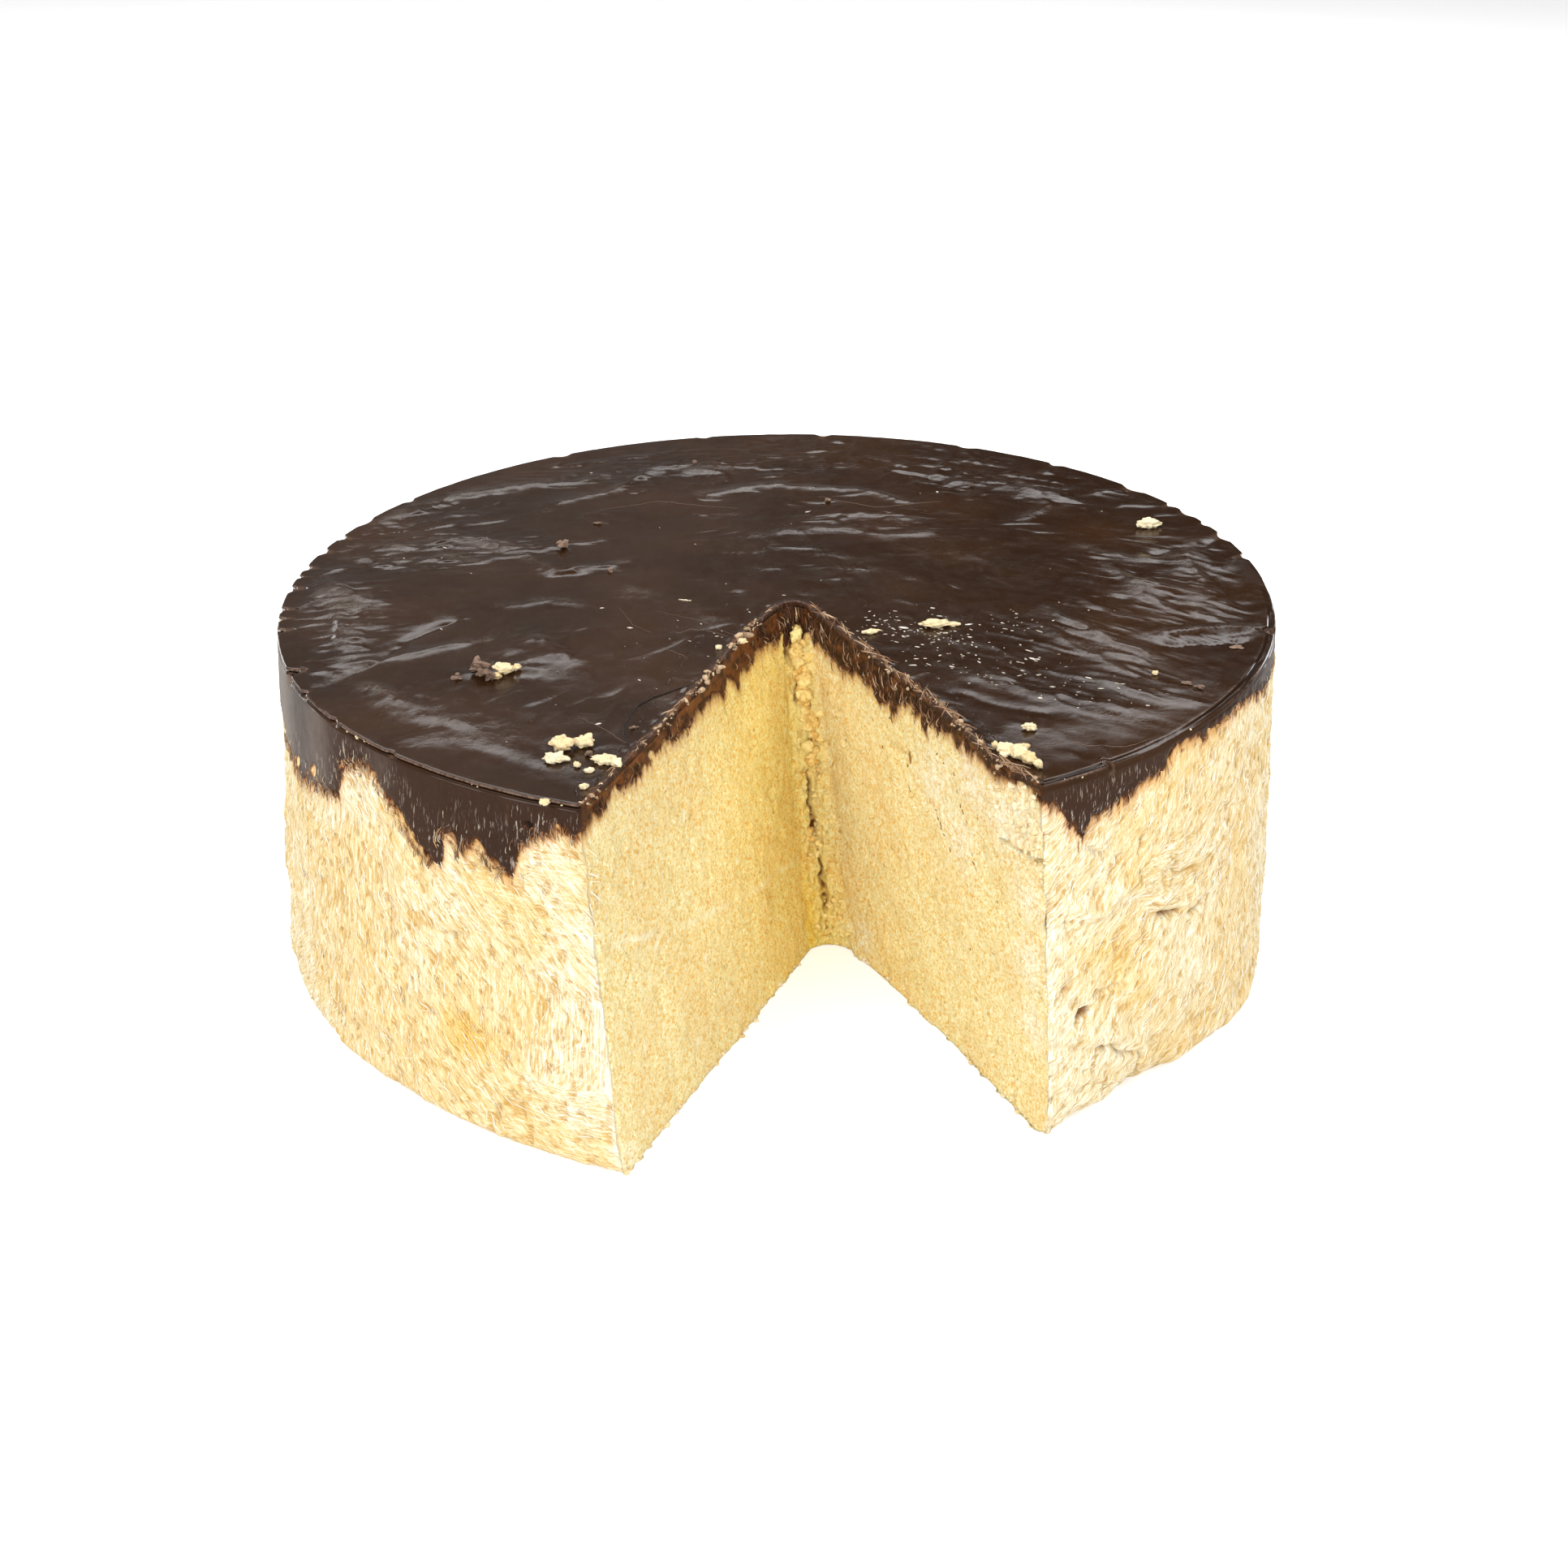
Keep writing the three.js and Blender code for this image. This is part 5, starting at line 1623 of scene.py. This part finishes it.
# How many threads lie on the band, at the torn end and over the upper edge, and their sizes.
cutThreads = {
    "band": 380, "apex": 160, "edge": 190, "steps": 6, "bandLong": (0.9, 3.2), "edgeLong": (1.4, 6.5),
    "width": (0.12, 0.32),
}
columnStep = 0.54  # millimetres between the columns of a cut face

# Tufts on the cut band, where its threads crowd: side, share of the face, spread, share of all.
cutTufts = [
    (-1, 0.93, 0.03, 0.05), (-1, 0.8, 0.03, 0.05), (-1, 0.58, 0.04, 0.1), (-1, 0.13, 0.06, 0.08),
    (1, 0.08, 0.1, 0.16), (1, 0.36, 0.12, 0.32), (1, 0.56, 0.06, 0.08), (1, 0.86, 0.08, 0.06),
    (1, 0.5, 0.3, 0.1),
]


def tuftPlace(random):
    draw = random.random()
    for side, along, spread, share in cutTufts:
        draw -= share
        if draw < 0:
            break
    return side, min(max(random.normal(along, spread), 0.0), 0.98)


# Threads on the band and at the torn end, each as its path, the directions out and its tone.
def bandThreads(random, wall, normals, t):
    kind, rows = cutThreads, len(wall)
    apex = np.argmax(columnKind == 2)
    threads = []
    for number in range(kind["band"] + kind["apex"]):
        side, along = tuftPlace(random)
        onBand = number < kind["band"]
        column = cutColumn(side, along) if onBand else apex + random.uniform(-14, meshDetail["tear"] + 14)
        row = random.uniform(0.0, 1.0) * rows
        lean = random.normal(0.2 * side, 0.35)
        long = random.uniform(*kind["bandLong"])
        depth = coverEdge[int(column) % columnCount] + 1
        columnPath = column + side * np.sin(lean) * t * long / columnStep
        rowPath = row - np.cos(lean) * t * long / depth * rows
        base = sampleGrid(wall, np.maximum(rowPath, 0), columnPath)
        out = sampleGrid(normals, np.maximum(rowPath, 0), columnPath)
        lift = 0.1 + random.uniform(0, 0.45) * np.sin(math.pi * t)
        lift = lift + random.uniform(0, 0.8) * t * (random.random() < 0.2)
        path = base + out * lift[:, None]
        path[:, 2] += np.minimum(rowPath, 0) * depth / rows * 0.8
        threads.append((path, out, random.random() ** 1.5 * (0.75 if side < 0 else 1)))
    return threads


# Threads that lie over the upper edge of the cut, in the same terms.
def edgeThreads(random, wall, normals, t):
    upwards = np.array([0.0, 0.0, 1.0])
    threads = []
    for _ in range(cutThreads["edge"]):
        side = 1 if random.random() < 0.74 else -1
        along = random.uniform(0.0, 0.97)
        base, out = onGrid(wall, normals, len(wall) - 1.0, cutColumn(side, along))
        way = np.array([-out[1], out[0], 0]) * random.choice([-1, 1]) + out * random.normal(-0.15, 0.35)
        way = way / np.linalg.norm(way)
        long = random.uniform(*cutThreads["edgeLong"]) * (1 if side > 0 else 0.6)
        rise = random.uniform(0.05, 0.5) * np.sin(math.pi * t * 0.8)
        start = base - out * random.uniform(-0.3, 0.8) - way * long / 2
        path = start + way * long * t[:, None] + upwards * (1.62 + rise[:, None])
        threads.append((path, np.tile(upwards, (len(t), 1)), random.uniform(0.25, 0.95)))
    return threads


# Threads of chocolate and halva drawn out by the knife.
def buildCutThreads(wall, normals):
    random = np.random.default_rng(97)
    t = np.linspace(0, 1, cutThreads["steps"])
    threads = bandThreads(random, wall, normals, t) + edgeThreads(random, wall, normals, t)
    paths, outs, tones = (np.array(values) for values in zip(*threads))
    width = random.uniform(*cutThreads["width"], len(paths))
    finish = rampStops((0.0, 66, 42, 28), (0.4, 108, 73, 46), (0.7, 156, 120, 90), (1.0, 214, 188, 154))
    material = makeThreadMaterial("drawnThread", finish, 0.62)
    threadMesh("cutThreads", paths, outs, width, tones, material)


# Slivers of chocolate pressed into the right cut face: share of the face, height, length, lean.
cutSlivers = [
    (0.44, 60.5, 4.2, 4), (0.425, 59.5, 2.8, 2), (0.43, 53.5, 2.4, 10), (0.56, 53, 2.6, 24),
    (0.575, 51, 3.8, 22), (0.6, 47.5, 1.6, 30), (0.655, 66, 1.6, 15), (0.665, 62.5, 1.2, 18),
    (0.675, 59.5, 2.4, 18), (0.69, 57, 1.4, 14), (0.71, 49.5, 4, 20), (0.6, 66, 1, 40),
    (0.58, 67, 0.9, 60), (0.36, 66, 0.9, 0), (0.33, 71, 0.7, 0),
    (0.74, 60, 0.8, 0), (0.31, 58, 0.9, 30), (0.8, 45, 0.9, 12), (0.52, 38, 0.7, 0), (0.66, 28, 0.7, 50),
]


def buildCutSlivers(body, normals):
    random = np.random.default_rng(99)
    steps, rows = 5, len(body)
    paths, outs = [], []
    pieces = []
    for along, height, long, lean in cutSlivers:
        parts = 1 if along == cutSlivers[0][0] else max(1, round(long / 1.2))
        for number in range(parts):
            away = (number - (parts - 1) / 2) * long / parts + random.normal(0, 0.2)
            slanted = math.radians(lean)
            place = along - math.sin(slanted) * away / faceLength + random.normal(0, 0.003) * (parts > 1)
            size = long / parts * random.uniform(0.3, 0.9)
            pieces.append((place, height + math.cos(slanted) * away, size, lean + random.normal(0, 14)))
    for along, height, long, lean in pieces:
        column = cutColumn(1, along)
        reach = halvaTop[int(column)]
        t = np.linspace(-0.5, 0.5, steps)
        columnPath = column + math.sin(math.radians(lean)) * t * long / columnStep
        rowPath = (height - math.cos(math.radians(lean)) * t * long) / reach * (rows - 1)
        out = sampleGrid(normals, rowPath, columnPath)
        paths.append(sampleGrid(body, rowPath, columnPath) + out * 0.02)
        outs.append(out)
    width = random.uniform(0.16, 0.45, len(paths))
    width[0] = 0.8
    finish = rampStops((0.0, 96, 62, 30), (1.0, 150, 112, 62))
    material = makeThreadMaterial("chocolateSliver", finish, 0.6)
    tone = random.random(len(paths))
    threadMesh("cutSlivers", np.array(paths), np.array(outs), width, tone, material)


# The points and faces of a shape, which is then freed.
def readShape(shape):
    points = np.array([vertex.co[:] for vertex in shape.verts])
    faces = np.array([[vertex.index for vertex in face.verts] for face in shape.faces])
    shape.free()
    return points, faces


# A crumb of halva, from rounded lumps.
def lumpPoints(size, seed, detail=3):
    shape = bmesh.new()
    bmesh.ops.create_icosphere(shape, subdivisions=detail, radius=0.5)
    points, faces = readShape(shape)
    random = np.random.default_rng(seed)
    place = points + random.uniform(-50, 50, 3)
    grow = 0.7 + 0.4 * billow(place, 0.46, 8) + 0.34 * billow(place, 0.24, 9) + 0.16 * noise(place, 0.1, 10)
    return points * grow[:, None] * np.array(size), faces


# A chip of chocolate, from a few shards with flat sides.
def chipPoints(size, seed, shards=5):
    random = np.random.default_rng(seed)
    shape = bmesh.new()
    for number in range(shards):
        middle = random.uniform(-0.32, 0.32, 3) if number else np.zeros(3)
        reach = random.uniform(0.18, 0.3) if number else 0.4
        corners = []
        for _ in range(11):
            way = random.normal(0, 1, 3)
            way = way / np.linalg.norm(way) * reach
            corners.append(shape.verts.new(middle + way * random.uniform(0.7, 1)))
        hull = bmesh.ops.convex_hull(shape, input=corners)
        inside = [item for item in hull["geom_interior"] if item in corners]
        bmesh.ops.delete(shape, geom=inside, context="VERTS")
    bmesh.ops.triangulate(shape, faces=shape.faces)
    shape.verts.index_update()
    points, faces = readShape(shape)
    return points * np.array(size), faces


def joinLumps(name, lumps, material):
    allPoints, allFaces, tones, start = [], [], [], 0
    random = np.random.default_rng(len(lumps))
    for points, faces in lumps:
        allPoints.append(points)
        allFaces.append(faces + start)
        tones.append(np.full((len(points), 1), random.random()))
        start += len(points)
    mesh = newMesh(name, np.concatenate(allPoints), [np.concatenate(allFaces)])
    addField(mesh, "tone", np.concatenate(tones))
    return addPiece(name, mesh, material, len(lumps))


def spun(points, angle):
    c, s = math.cos(angle), math.sin(angle)
    return points @ np.array([[c, s, 0], [-s, c, 0], [0, 0, 1]])


# Sets a lump on the chocolate. topPlaces are the points of its upper surface.
def onTop(topPlaces, lump, x, y, angle, sink):
    points, faces = lump
    points = spun(points, angle)
    nearest = np.argmin((topPlaces[:, 0] - x) ** 2 + (topPlaces[:, 1] - y) ** 2)
    return points + np.array([x, y, topPlaces[nearest, 2] - points[:, 2].min() - sink]), faces


# Crumbs of halva on the chocolate: place, length, width, height, turn in degrees.
halvaCrumbs = [
    (-39.2, -80.4, 4.1, 4.6, 3.4, 80), (-35, -79.4, 4.6, 3.6, 3.2, 10), (-39.8, -85.6, 5.2, 3, 2.4, 0),
    (-30.8, -85.8, 5.4, 3.2, 2.2, -25), (-28.4, -87.2, 2.6, 2.2, 1.8, 0), (-35.6, -87.6, 1.6, 1.8, 1.2, 0),
    (-33.2, -89.4, 2.2, 1.4, 1.2, 0), (-39.9, -102.2, 2.2, 2, 1.6, 0), (-33.6, -96, 2.4, 1.7, 1.4, 20),
    (87.6, 34.8, 6.8, 3.8, 2.8, 8), (34, -23, 7.8, 3.4, 1.8, 8), (37.6, -22.2, 4, 2, 1, 8),
    (43.6, -82.8, 4.6, 3.6, 2.6, 15), (46, -84.6, 4.2, 3.8, 3.2, -50), (47.6, -86.8, 3.8, 2.8, 2.6, -50),
    (48.9, -88.8, 2.8, 2.2, 2, -50), (47, -81.6, 2.4, 2, 1.8, 0), (48.8, -73.3, 3.2, 2.4, 1.8, 10),
    (41.8, -80.8, 1.8, 1.8, 1.4, 30), (-54.4, -46.6, 4.6, 3, 2.6, 10), (-51.9, -45.9, 2.2, 1.6, 1.6, 0),
    (-55.6, -48.8, 2.4, 2, 1.6, 0), (76.4, -48.8, 1.6, 1.3, 1, 0), (-7.2, -29.3, 3.6, 2, 1.4, 5),
    (-11.6, -34.5, 1.8, 1.4, 1, 0), (20.2, -26.6, 4, 1.8, 1.2, 20),
]

# Chips of chocolate, in the same terms.
chocolateChips = [
    (-59, -45.6, 7.6, 5, 4.4, 30), (-57.6, -49, 4.6, 3.6, 3, -20), (-63.8, -49.2, 3.2, 2.4, 1.8, 10),
    (-49.8, 24.3, 4.8, 3.6, 3.2, 25), (-37.7, 9.8, 2.4, 2, 1.6, 0), (-33.9, -82.8, 2.6, 2, 1.6, 10),
    (95.3, -35.3, 4.2, 1.8, 0.8, -4),
    (82, -53.4, 2.6, 2, 1.2, 0), (84.2, -55.6, 3, 1.8, 1.4, -30), (-43.2, 40.6, 3, 1.4, 0.9, 12),
    (12, 55, 3.2, 2.2, 1.6, 40), (48, 66, 2.2, 1.6, 1.2, 0), (-22, 84, 2.6, 1.8, 1.2, 70),
    (-26.5, -71.4, 2.4, 1.2, 0.9, 20),
]

# How many crumbs lie along the top edges of the cut and its foot, and the size of those on the top.
edgeCrumbs = {"left": 170, "right": 130, "foot": 40, "scale": 0.74}

# Crumbs caught in the seam under the rim: from one angle to another, count.
seamCrumbs = [(-140.5, -136.5, 11), (-136, -109, 7), (-62, -36, 3), (150, 200, 8)]

# Crumbs at the torn inner end: share of the way across, from one height to another, size, count.
tornCrumbs = [
    (0.5, 60, 72, 2.7, 30), (0.5, 50, 62, 3, 32), (0.62, 42, 52, 2.5, 22), (0.5, 34, 44, 1.2, 16),
    (0.3, 20, 27, 1.5, 18), (0.72, 3, 12, 1.5, 18), (0.5, 1, 30, 0.9, 24),
]

# Crumbs on the right cut face: share of the face, height, spread, size, count.
faceCrumbs = [
    (0.96, 69, 3, 1.3, 34), (0.86, 71, 2.4, 1, 16), (0.99, 62, 2.2, 1, 14), (0.74, 66, 4, 0.8, 20),
    (0.98, 36, 2.6, 0.9, 12), (0.6, 58, 5, 0.6, 16),
]


# Crumbs that lie along the top edges of the cut.
def topEdgeCrumbs(topPlaces, wall):
    random = np.random.default_rng(103)
    lumps = []
    top = len(wall) - 1
    for side, name in ((-1, "left"), (1, "right")):
        for _ in range(edgeCrumbs[name]):
            along = random.random() ** (1.1 if side < 0 else 0.6)
            if noise(np.array([along * 22, side, 0.5]), 1, 104) < -0.05:
                continue
            column = int(cutColumn(side, along)) % columnCount
            size = 0.25 + random.exponential(0.22)
            place = wall[top, column] - np.array([*planNormals[column], 0]) * random.uniform(-0.3, 0.8)
            lump = lumpPoints((size * random.uniform(1, 2.4), size, size * 0.9), random.integers(1e6), 2)
            lumps.append(onTop(topPlaces, lump, place[0], place[1], random.random() * turn, size * 0.3))
    return lumps


# Crumbs at the foot of the cut and in the seam under the rim.
def lowCrumbs(body):
    random = np.random.default_rng(105)
    lumps = []
    for number in range(edgeCrumbs["foot"]):
        side = -1 if random.random() < 0.6 else 1
        base = body[number % 2, int(cutColumn(side, random.random() ** 0.7)) % columnCount]
        size = random.uniform(0.5, 1.3)
        points, faces = lumpPoints((size, size, size * 0.8), 640 + number, 3)
        points = points + base
        points[:, 2] = np.maximum(points[:, 2] + size * 0.1, 0.05)
        lumps.append((points, faces))
    for share, height, spread, size, count in faceCrumbs:
        for _ in range(count):
            along = min(random.normal(share, spread / faceLength), 1.0)
            column = int(cutColumn(1, along)) % columnCount
            reach = halvaTop[column]
            row = min(int(random.normal(height, spread) / reach * (len(body) - 1)), len(body) - 1)
            across = size * random.uniform(0.4, 1.5, 3)
            points, faces = lumpPoints(across, random.integers(1e6), 2)
            lumps.append((points + body[row, column], faces))
    for start, end, count in seamCrumbs:
        for _ in range(count):
            degrees = random.uniform(start, end)
            size = 0.18 + random.exponential(0.14)
            points, faces = lumpPoints((size * random.uniform(0.8, 1.8), size, size), random.integers(1e6), 2)
            rim = onCircle(degrees, halvaRound["rimRadius"] + random.uniform(-0.2, 0.3))
            place = np.array([*rim, rimHeight(degrees) - random.uniform(0.1, 1.0)])
            lumps.append((spun(points, random.random() * turn) + place, faces))
    return lumps


def tornLumps(body, normals):
    random = np.random.default_rng(111)
    lumps = []
    first, rows = np.argmax(columnKind == 2), len(body)
    for across, low, high, size, count in tornCrumbs:
        for _ in range(count):
            column = first + meshDetail["tear"] * np.clip(random.normal(across, 0.16), 0.05, 0.95)
            height = random.uniform(low, high)
            base, out = onGrid(body, normals, height / halvaTop[int(column)] * (rows - 1), column)
            across3 = size * random.uniform(0.6, 1.3, 3) * (1.0, 0.8, 0.8)
            points, faces = lumpPoints(across3, random.integers(1e6), 3 if size > 2 else 2)
            lumps.append((spun(points, random.random() * turn) + base - out * across3.min() * 0.12, faces))
    return lumps


def buildCrumbs(topPlaces, wall, body, bodyNormals):
    scale = edgeCrumbs["scale"]
    cream = makeCrumbMaterial("halvaCrumb", linear(244, 232, 198), linear(220, 188, 130), 0.85)
    lumps = []
    for number, (x, y, long, wide, high, turned) in enumerate(halvaCrumbs):
        lump = lumpPoints((long * scale, wide * scale, high * scale), 300 + number, 4 if long > 3 else 3)
        lumps.append(onTop(topPlaces, lump, x, y, math.radians(turned), high * 0.1))
    joinLumps("halvaCrumbs", lumps + lowCrumbs(body), cream)
    yellow = makeCrumbMaterial("tornHalva", linear(252, 234, 160), linear(226, 174, 84), 0.85)
    joinLumps("tornCrumbs", tornLumps(body, bodyNormals), yellow)
    brown = makeCrumbMaterial("chocolateChip", linear(150, 124, 106), linear(66, 46, 36), 0.6)
    lumps = []
    for number, (x, y, long, wide, high, turned) in enumerate(chocolateChips):
        lump = chipPoints((long, wide, high), 400 + number)
        lumps.append(onTop(topPlaces, lump, x, y, math.radians(turned), high * 0.1))
    chips = joinLumps("chocolateChips", lumps, brown)
    chips.data.polygons.foreach_set("use_smooth", np.zeros(len(chips.data.polygons), bool))
    tan = makeCrumbMaterial("edgeCrumb", linear(224, 196, 158), linear(104, 74, 54), 0.7)
    joinLumps("edgeCrumbs", topEdgeCrumbs(topPlaces, wall), tan)


# Fine lines on the chocolate: points in plan, width, tone from a dark crack to a pale scratch.
topLineSteps = 26
topLines = [
    ([(-26.8, -78.9), (-28.3, -73.5), (-27.8, -66.4), (-26, -61.3), (-23.5, -58.2), (-17, -53)], 0.42, 0),
    ([(-37.6, -66.3), (-32.5, -71.2), (-27.1, -77.9)], 0.16, 0.45),
    ([(-22.3, -34.1), (-17.8, -39)], 0.14, 0.5),
    ([(-20.9, -26.9), (-17.8, -24.3), (-14.2, -25.2), (-9.7, -28)], 0.14, 0.5),
    ([(-21.3, -7.5), (-18.5, -8.4)], 0.3, 1),
    ([(49.7, -80.8), (55.2, -77.9), (59.6, -80.2), (66, -81), (71.8, -77.4)], 0.18, 0.45),
    ([(-26, -14), (-16, -20), (-6, -30)], 0.1, 0.4), ([(-34, -12), (-30, -22), (-26, -26)], 0.1, 0.4),
    ([(10, 58), (24, 50), (40, 54)], 0.16, 0.45), ([(-44, 50), (-30, 56), (-10, 50)], 0.16, 0.4),
]


def buildTopLines(topPlaces):
    random = np.random.default_rng(109)
    paths, widths, tones = [], [], []
    for line, width, tone in topLines:
        walked = np.linspace(0, len(line) - 1, topLineSteps)
        path = np.stack([np.interp(walked, np.arange(len(line)), values) for values in zip(*line)], axis=-1)
        path = path + random.normal(0, 0.12, path.shape)
        nearest = [np.argmin(((topPlaces[:, :2] - place) ** 2).sum(axis=1)) for place in path]
        paths.append(np.c_[path, topPlaces[nearest, 2] + width * 0.1])
        widths.append(width)
        tones.append(tone)
    finish = rampStops((0.0, 12, 8, 6), (0.5, 104, 86, 74), (1.0, 236, 222, 196))
    material = makeThreadMaterial("topLine", finish, 0.6)
    upwards = np.tile([0.0, 0.0, 1.0], (len(paths), topLineSteps, 1))
    threadMesh("topLines", np.array(paths), upwards, np.array(widths), np.array(tones), material)


# Clouds of fine sugar flakes on the chocolate: centre, spread along and across, lean, count.
sugarDust = [
    (36, -33, 13, 6, -62, 90), (30, -27, 6, 2.5, -20, 40), (52, -44, 14, 6, -50, 46), (47, -22, 9, 4, 0, 36),
    (24, -20, 4, 5, 60, 26), (64, -58, 8, 4, -10, 12), (-16, -26, 10, 4, 20, 18), (-30, -60, 24, 8, 40, 16),
    (0, 30, 60, 40, 0, 26),
]


dustRadius = 104


# Whether a place on the top lies over the cut, or so near it that dust would hang in the air.
def overCut(x, y):
    inwards = -y - 6
    return y < -8 and -0.4 * inwards < x < 4 + 0.52 * inwards


def buildSugarDust(topPlaces):
    random = np.random.default_rng(107)
    lumps = []
    for x, y, along, across, lean, count in sugarDust:
        c, s = math.cos(math.radians(lean)), math.sin(math.radians(lean))
        for _ in range(count):
            u, v = random.normal(0, along), random.normal(0, across)
            px, py = x + u * c - v * s, y + u * s + v * c
            if np.hypot(px, py) > dustRadius or overCut(px, py):
                continue
            size = 0.14 + random.exponential(0.14)
            lump = lumpPoints((size * random.uniform(1.2, 4.0), size, size * 0.3), random.integers(1e6), 1)
            lumps.append(onTop(topPlaces, lump, px, py, random.normal(-0.26, 0.5), 0.03))
    material = makeCrumbMaterial("sugarFlake", linear(250, 242, 226), linear(176, 162, 146), 0.7)
    joinLumps("sugarDust", lumps, material)


# Stage, light and camera.

viewFrom = {
    "target": (2.54, 0.0, 27.4), "distance": 473.6, "elevation": 27.59, "roll": 1.10,
    "focal": 2500.0, "imageSize": 1932.0, "sensor": 36.0,
}


def addCamera():
    data = bpy.data.cameras.new("camera")
    data.sensor_width = viewFrom["sensor"]
    data.lens = viewFrom["focal"] / viewFrom["imageSize"] * viewFrom["sensor"]
    data.clip_start, data.clip_end = 0.01, 50
    camera = bpy.data.objects.new("camera", data)
    raised, rolled = math.radians(viewFrom["elevation"]), math.radians(viewFrom["roll"])
    back = Vector((0, -math.cos(raised), math.sin(raised)))
    right = Vector((1, 0, 0))
    up = back.cross(right)
    tiltedRight = right * math.cos(rolled) + up * math.sin(rolled)
    tiltedUp = up * math.cos(rolled) - right * math.sin(rolled)
    place = (Vector(viewFrom["target"]) + back * viewFrom["distance"]) * mm
    turned = Matrix((tiltedRight, tiltedUp, back)).transposed().to_4x4()
    camera.matrix_world = Matrix.Translation(place) @ turned
    bpy.context.scene.collection.objects.link(camera)
    bpy.context.scene.camera = camera


studio = {
    "front": 0.66, "behind": 0.32, "above": 0.72, "mirrored": (0.3, 0.03),
    "floorGlow": 0.35, "floorInGloss": 0.2, "floorHalf": 4000, "floorDrop": 0.0002, "floorPale": 0.88,
    "lamps": [  # name, place, aimed at, width, height, watts
        ("frontLeftLamp", (-0.65, -1.45, 0.8), (0, 0, 0.04), 0.9, 0.8, 18),
        ("frontRightLamp", (0.75, -1.4, 0.8), (0, 0, 0.04), 0.9, 0.8, 14.5),
        ("highRightLamp", (0.9, -0.15, 1.35), (0, -0.04, 0.04), 0.8, 0.7, 9),
        ("highLeftLamp", (-0.9, -0.15, 1.35), (0, -0.04, 0.04), 0.8, 0.7, 9),
        ("backLamp", (-0.3, 1.05, 1.12), (0, 0, 0.04), 1.9, 0.42, 14),
        ("backLeftLamp", (-1.1, 1.1, 0.25), (0, 0, 0.04), 0.6, 0.5, 6),
        ("backRightLamp", (1.1, 1.1, 0.25), (0, 0, 0.04), 0.6, 0.5, 6),
    ],
}


# A soft surround: bright in front and above, with a dark board behind that the chocolate mirrors,
# and white where the camera sees it.
def addWorld():
    world = bpy.data.worlds.new("softWorld")
    world.use_nodes = True
    world.node_tree.nodes.clear()
    desk = NodeDesk(world.node_tree)
    way = desk.add("ShaderNodeSeparateXYZ")
    desk.link(desk.add("ShaderNodeTexCoord").outputs["Generated"], way.inputs[0])
    around = desk.span(way.outputs[1], -0.3, 0.5, studio["front"], studio["behind"])
    strength = desk.mixValue(desk.span(way.outputs[2], 0.62, 0.9), around, studio["above"])
    board = desk.times(desk.span(way.outputs[1], 0.2, 0.45), desk.span(way.outputs[2], 0.06, 0.2))
    dim = desk.span(way.outputs[0], -0.14, 0.12, *studio["mirrored"])
    strength = desk.mixValue(board, strength, dim)
    seen = desk.add("ShaderNodeLightPath").outputs["Is Camera Ray"]
    background = desk.add("ShaderNodeBackground")
    desk.link(desk.mixValue(seen, strength, 1.0), background.inputs["Strength"])
    desk.link(background.outputs[0], desk.add("ShaderNodeOutputWorld").inputs[0])
    bpy.context.scene.world = world


def addLamps():
    for name, place, aim, width, height, watts in studio["lamps"]:
        data = bpy.data.lights.new(name, "AREA")
        data.shape = "RECTANGLE"
        data.size, data.size_y, data.energy = width, height, watts
        lamp = bpy.data.objects.new(name, data)
        toAim = Vector(aim) - Vector(place)
        lamp.matrix_world = Matrix.Translation(place) @ toAim.to_track_quat("-Z", "Y").to_matrix().to_4x4()
        lamp.visible_glossy = not name.startswith("front")
        bpy.context.scene.collection.objects.link(lamp)


def addFloor():
    half = studio["floorHalf"]
    corners = np.array([[-half, -half, 0], [half, -half, 0], [half, half, 0], [-half, half, 0]])
    floor = addObject("floor", newMesh("floor", corners, [np.array([[0, 1, 2, 3]])]))
    floor.location.z = -studio["floorDrop"]
    material, desk, shader = newMaterial("paleFloor", {"Roughness": 0.7, "Emission Color": (1, 1, 1, 1)})
    path = desk.add("ShaderNodeLightPath")
    pale = desk.mixValue(path.outputs["Is Glossy Ray"], studio["floorPale"], studio["floorInGloss"])
    desk.link(pale, shader["Base Color"])
    desk.link(desk.times(path.outputs["Is Camera Ray"], studio["floorGlow"]), shader["Emission Strength"])
    floor.data.materials.append(material)


halvaBody, bodyGrid, bodyNormals = buildHalva()
halvaBody.data.materials.append(makeHalvaMaterial())
print("stage: halva,", len(halvaBody.data.polygons), "faces")
chocolateLayer, wallGrid, wallNormals, topGrid = buildChocolate()
topPlaces = topGrid.reshape(-1, 3)
chocolateLayer.data.materials.append(makeChocolateMaterial())
print("stage: chocolate,", len(chocolateLayer.data.polygons), "faces")
buildSugarThreads()
buildSkirtThreads()
buildCutThreads(wallGrid, wallNormals)
buildCutSlivers(bodyGrid, bodyNormals)
buildCrumbs(topPlaces, wallGrid, bodyGrid, bodyNormals)
buildSugarDust(topPlaces)
buildTopLines(topPlaces)
addFloor()
addWorld()
addLamps()
addCamera()
bpy.context.scene.view_settings.view_transform = "Standard"
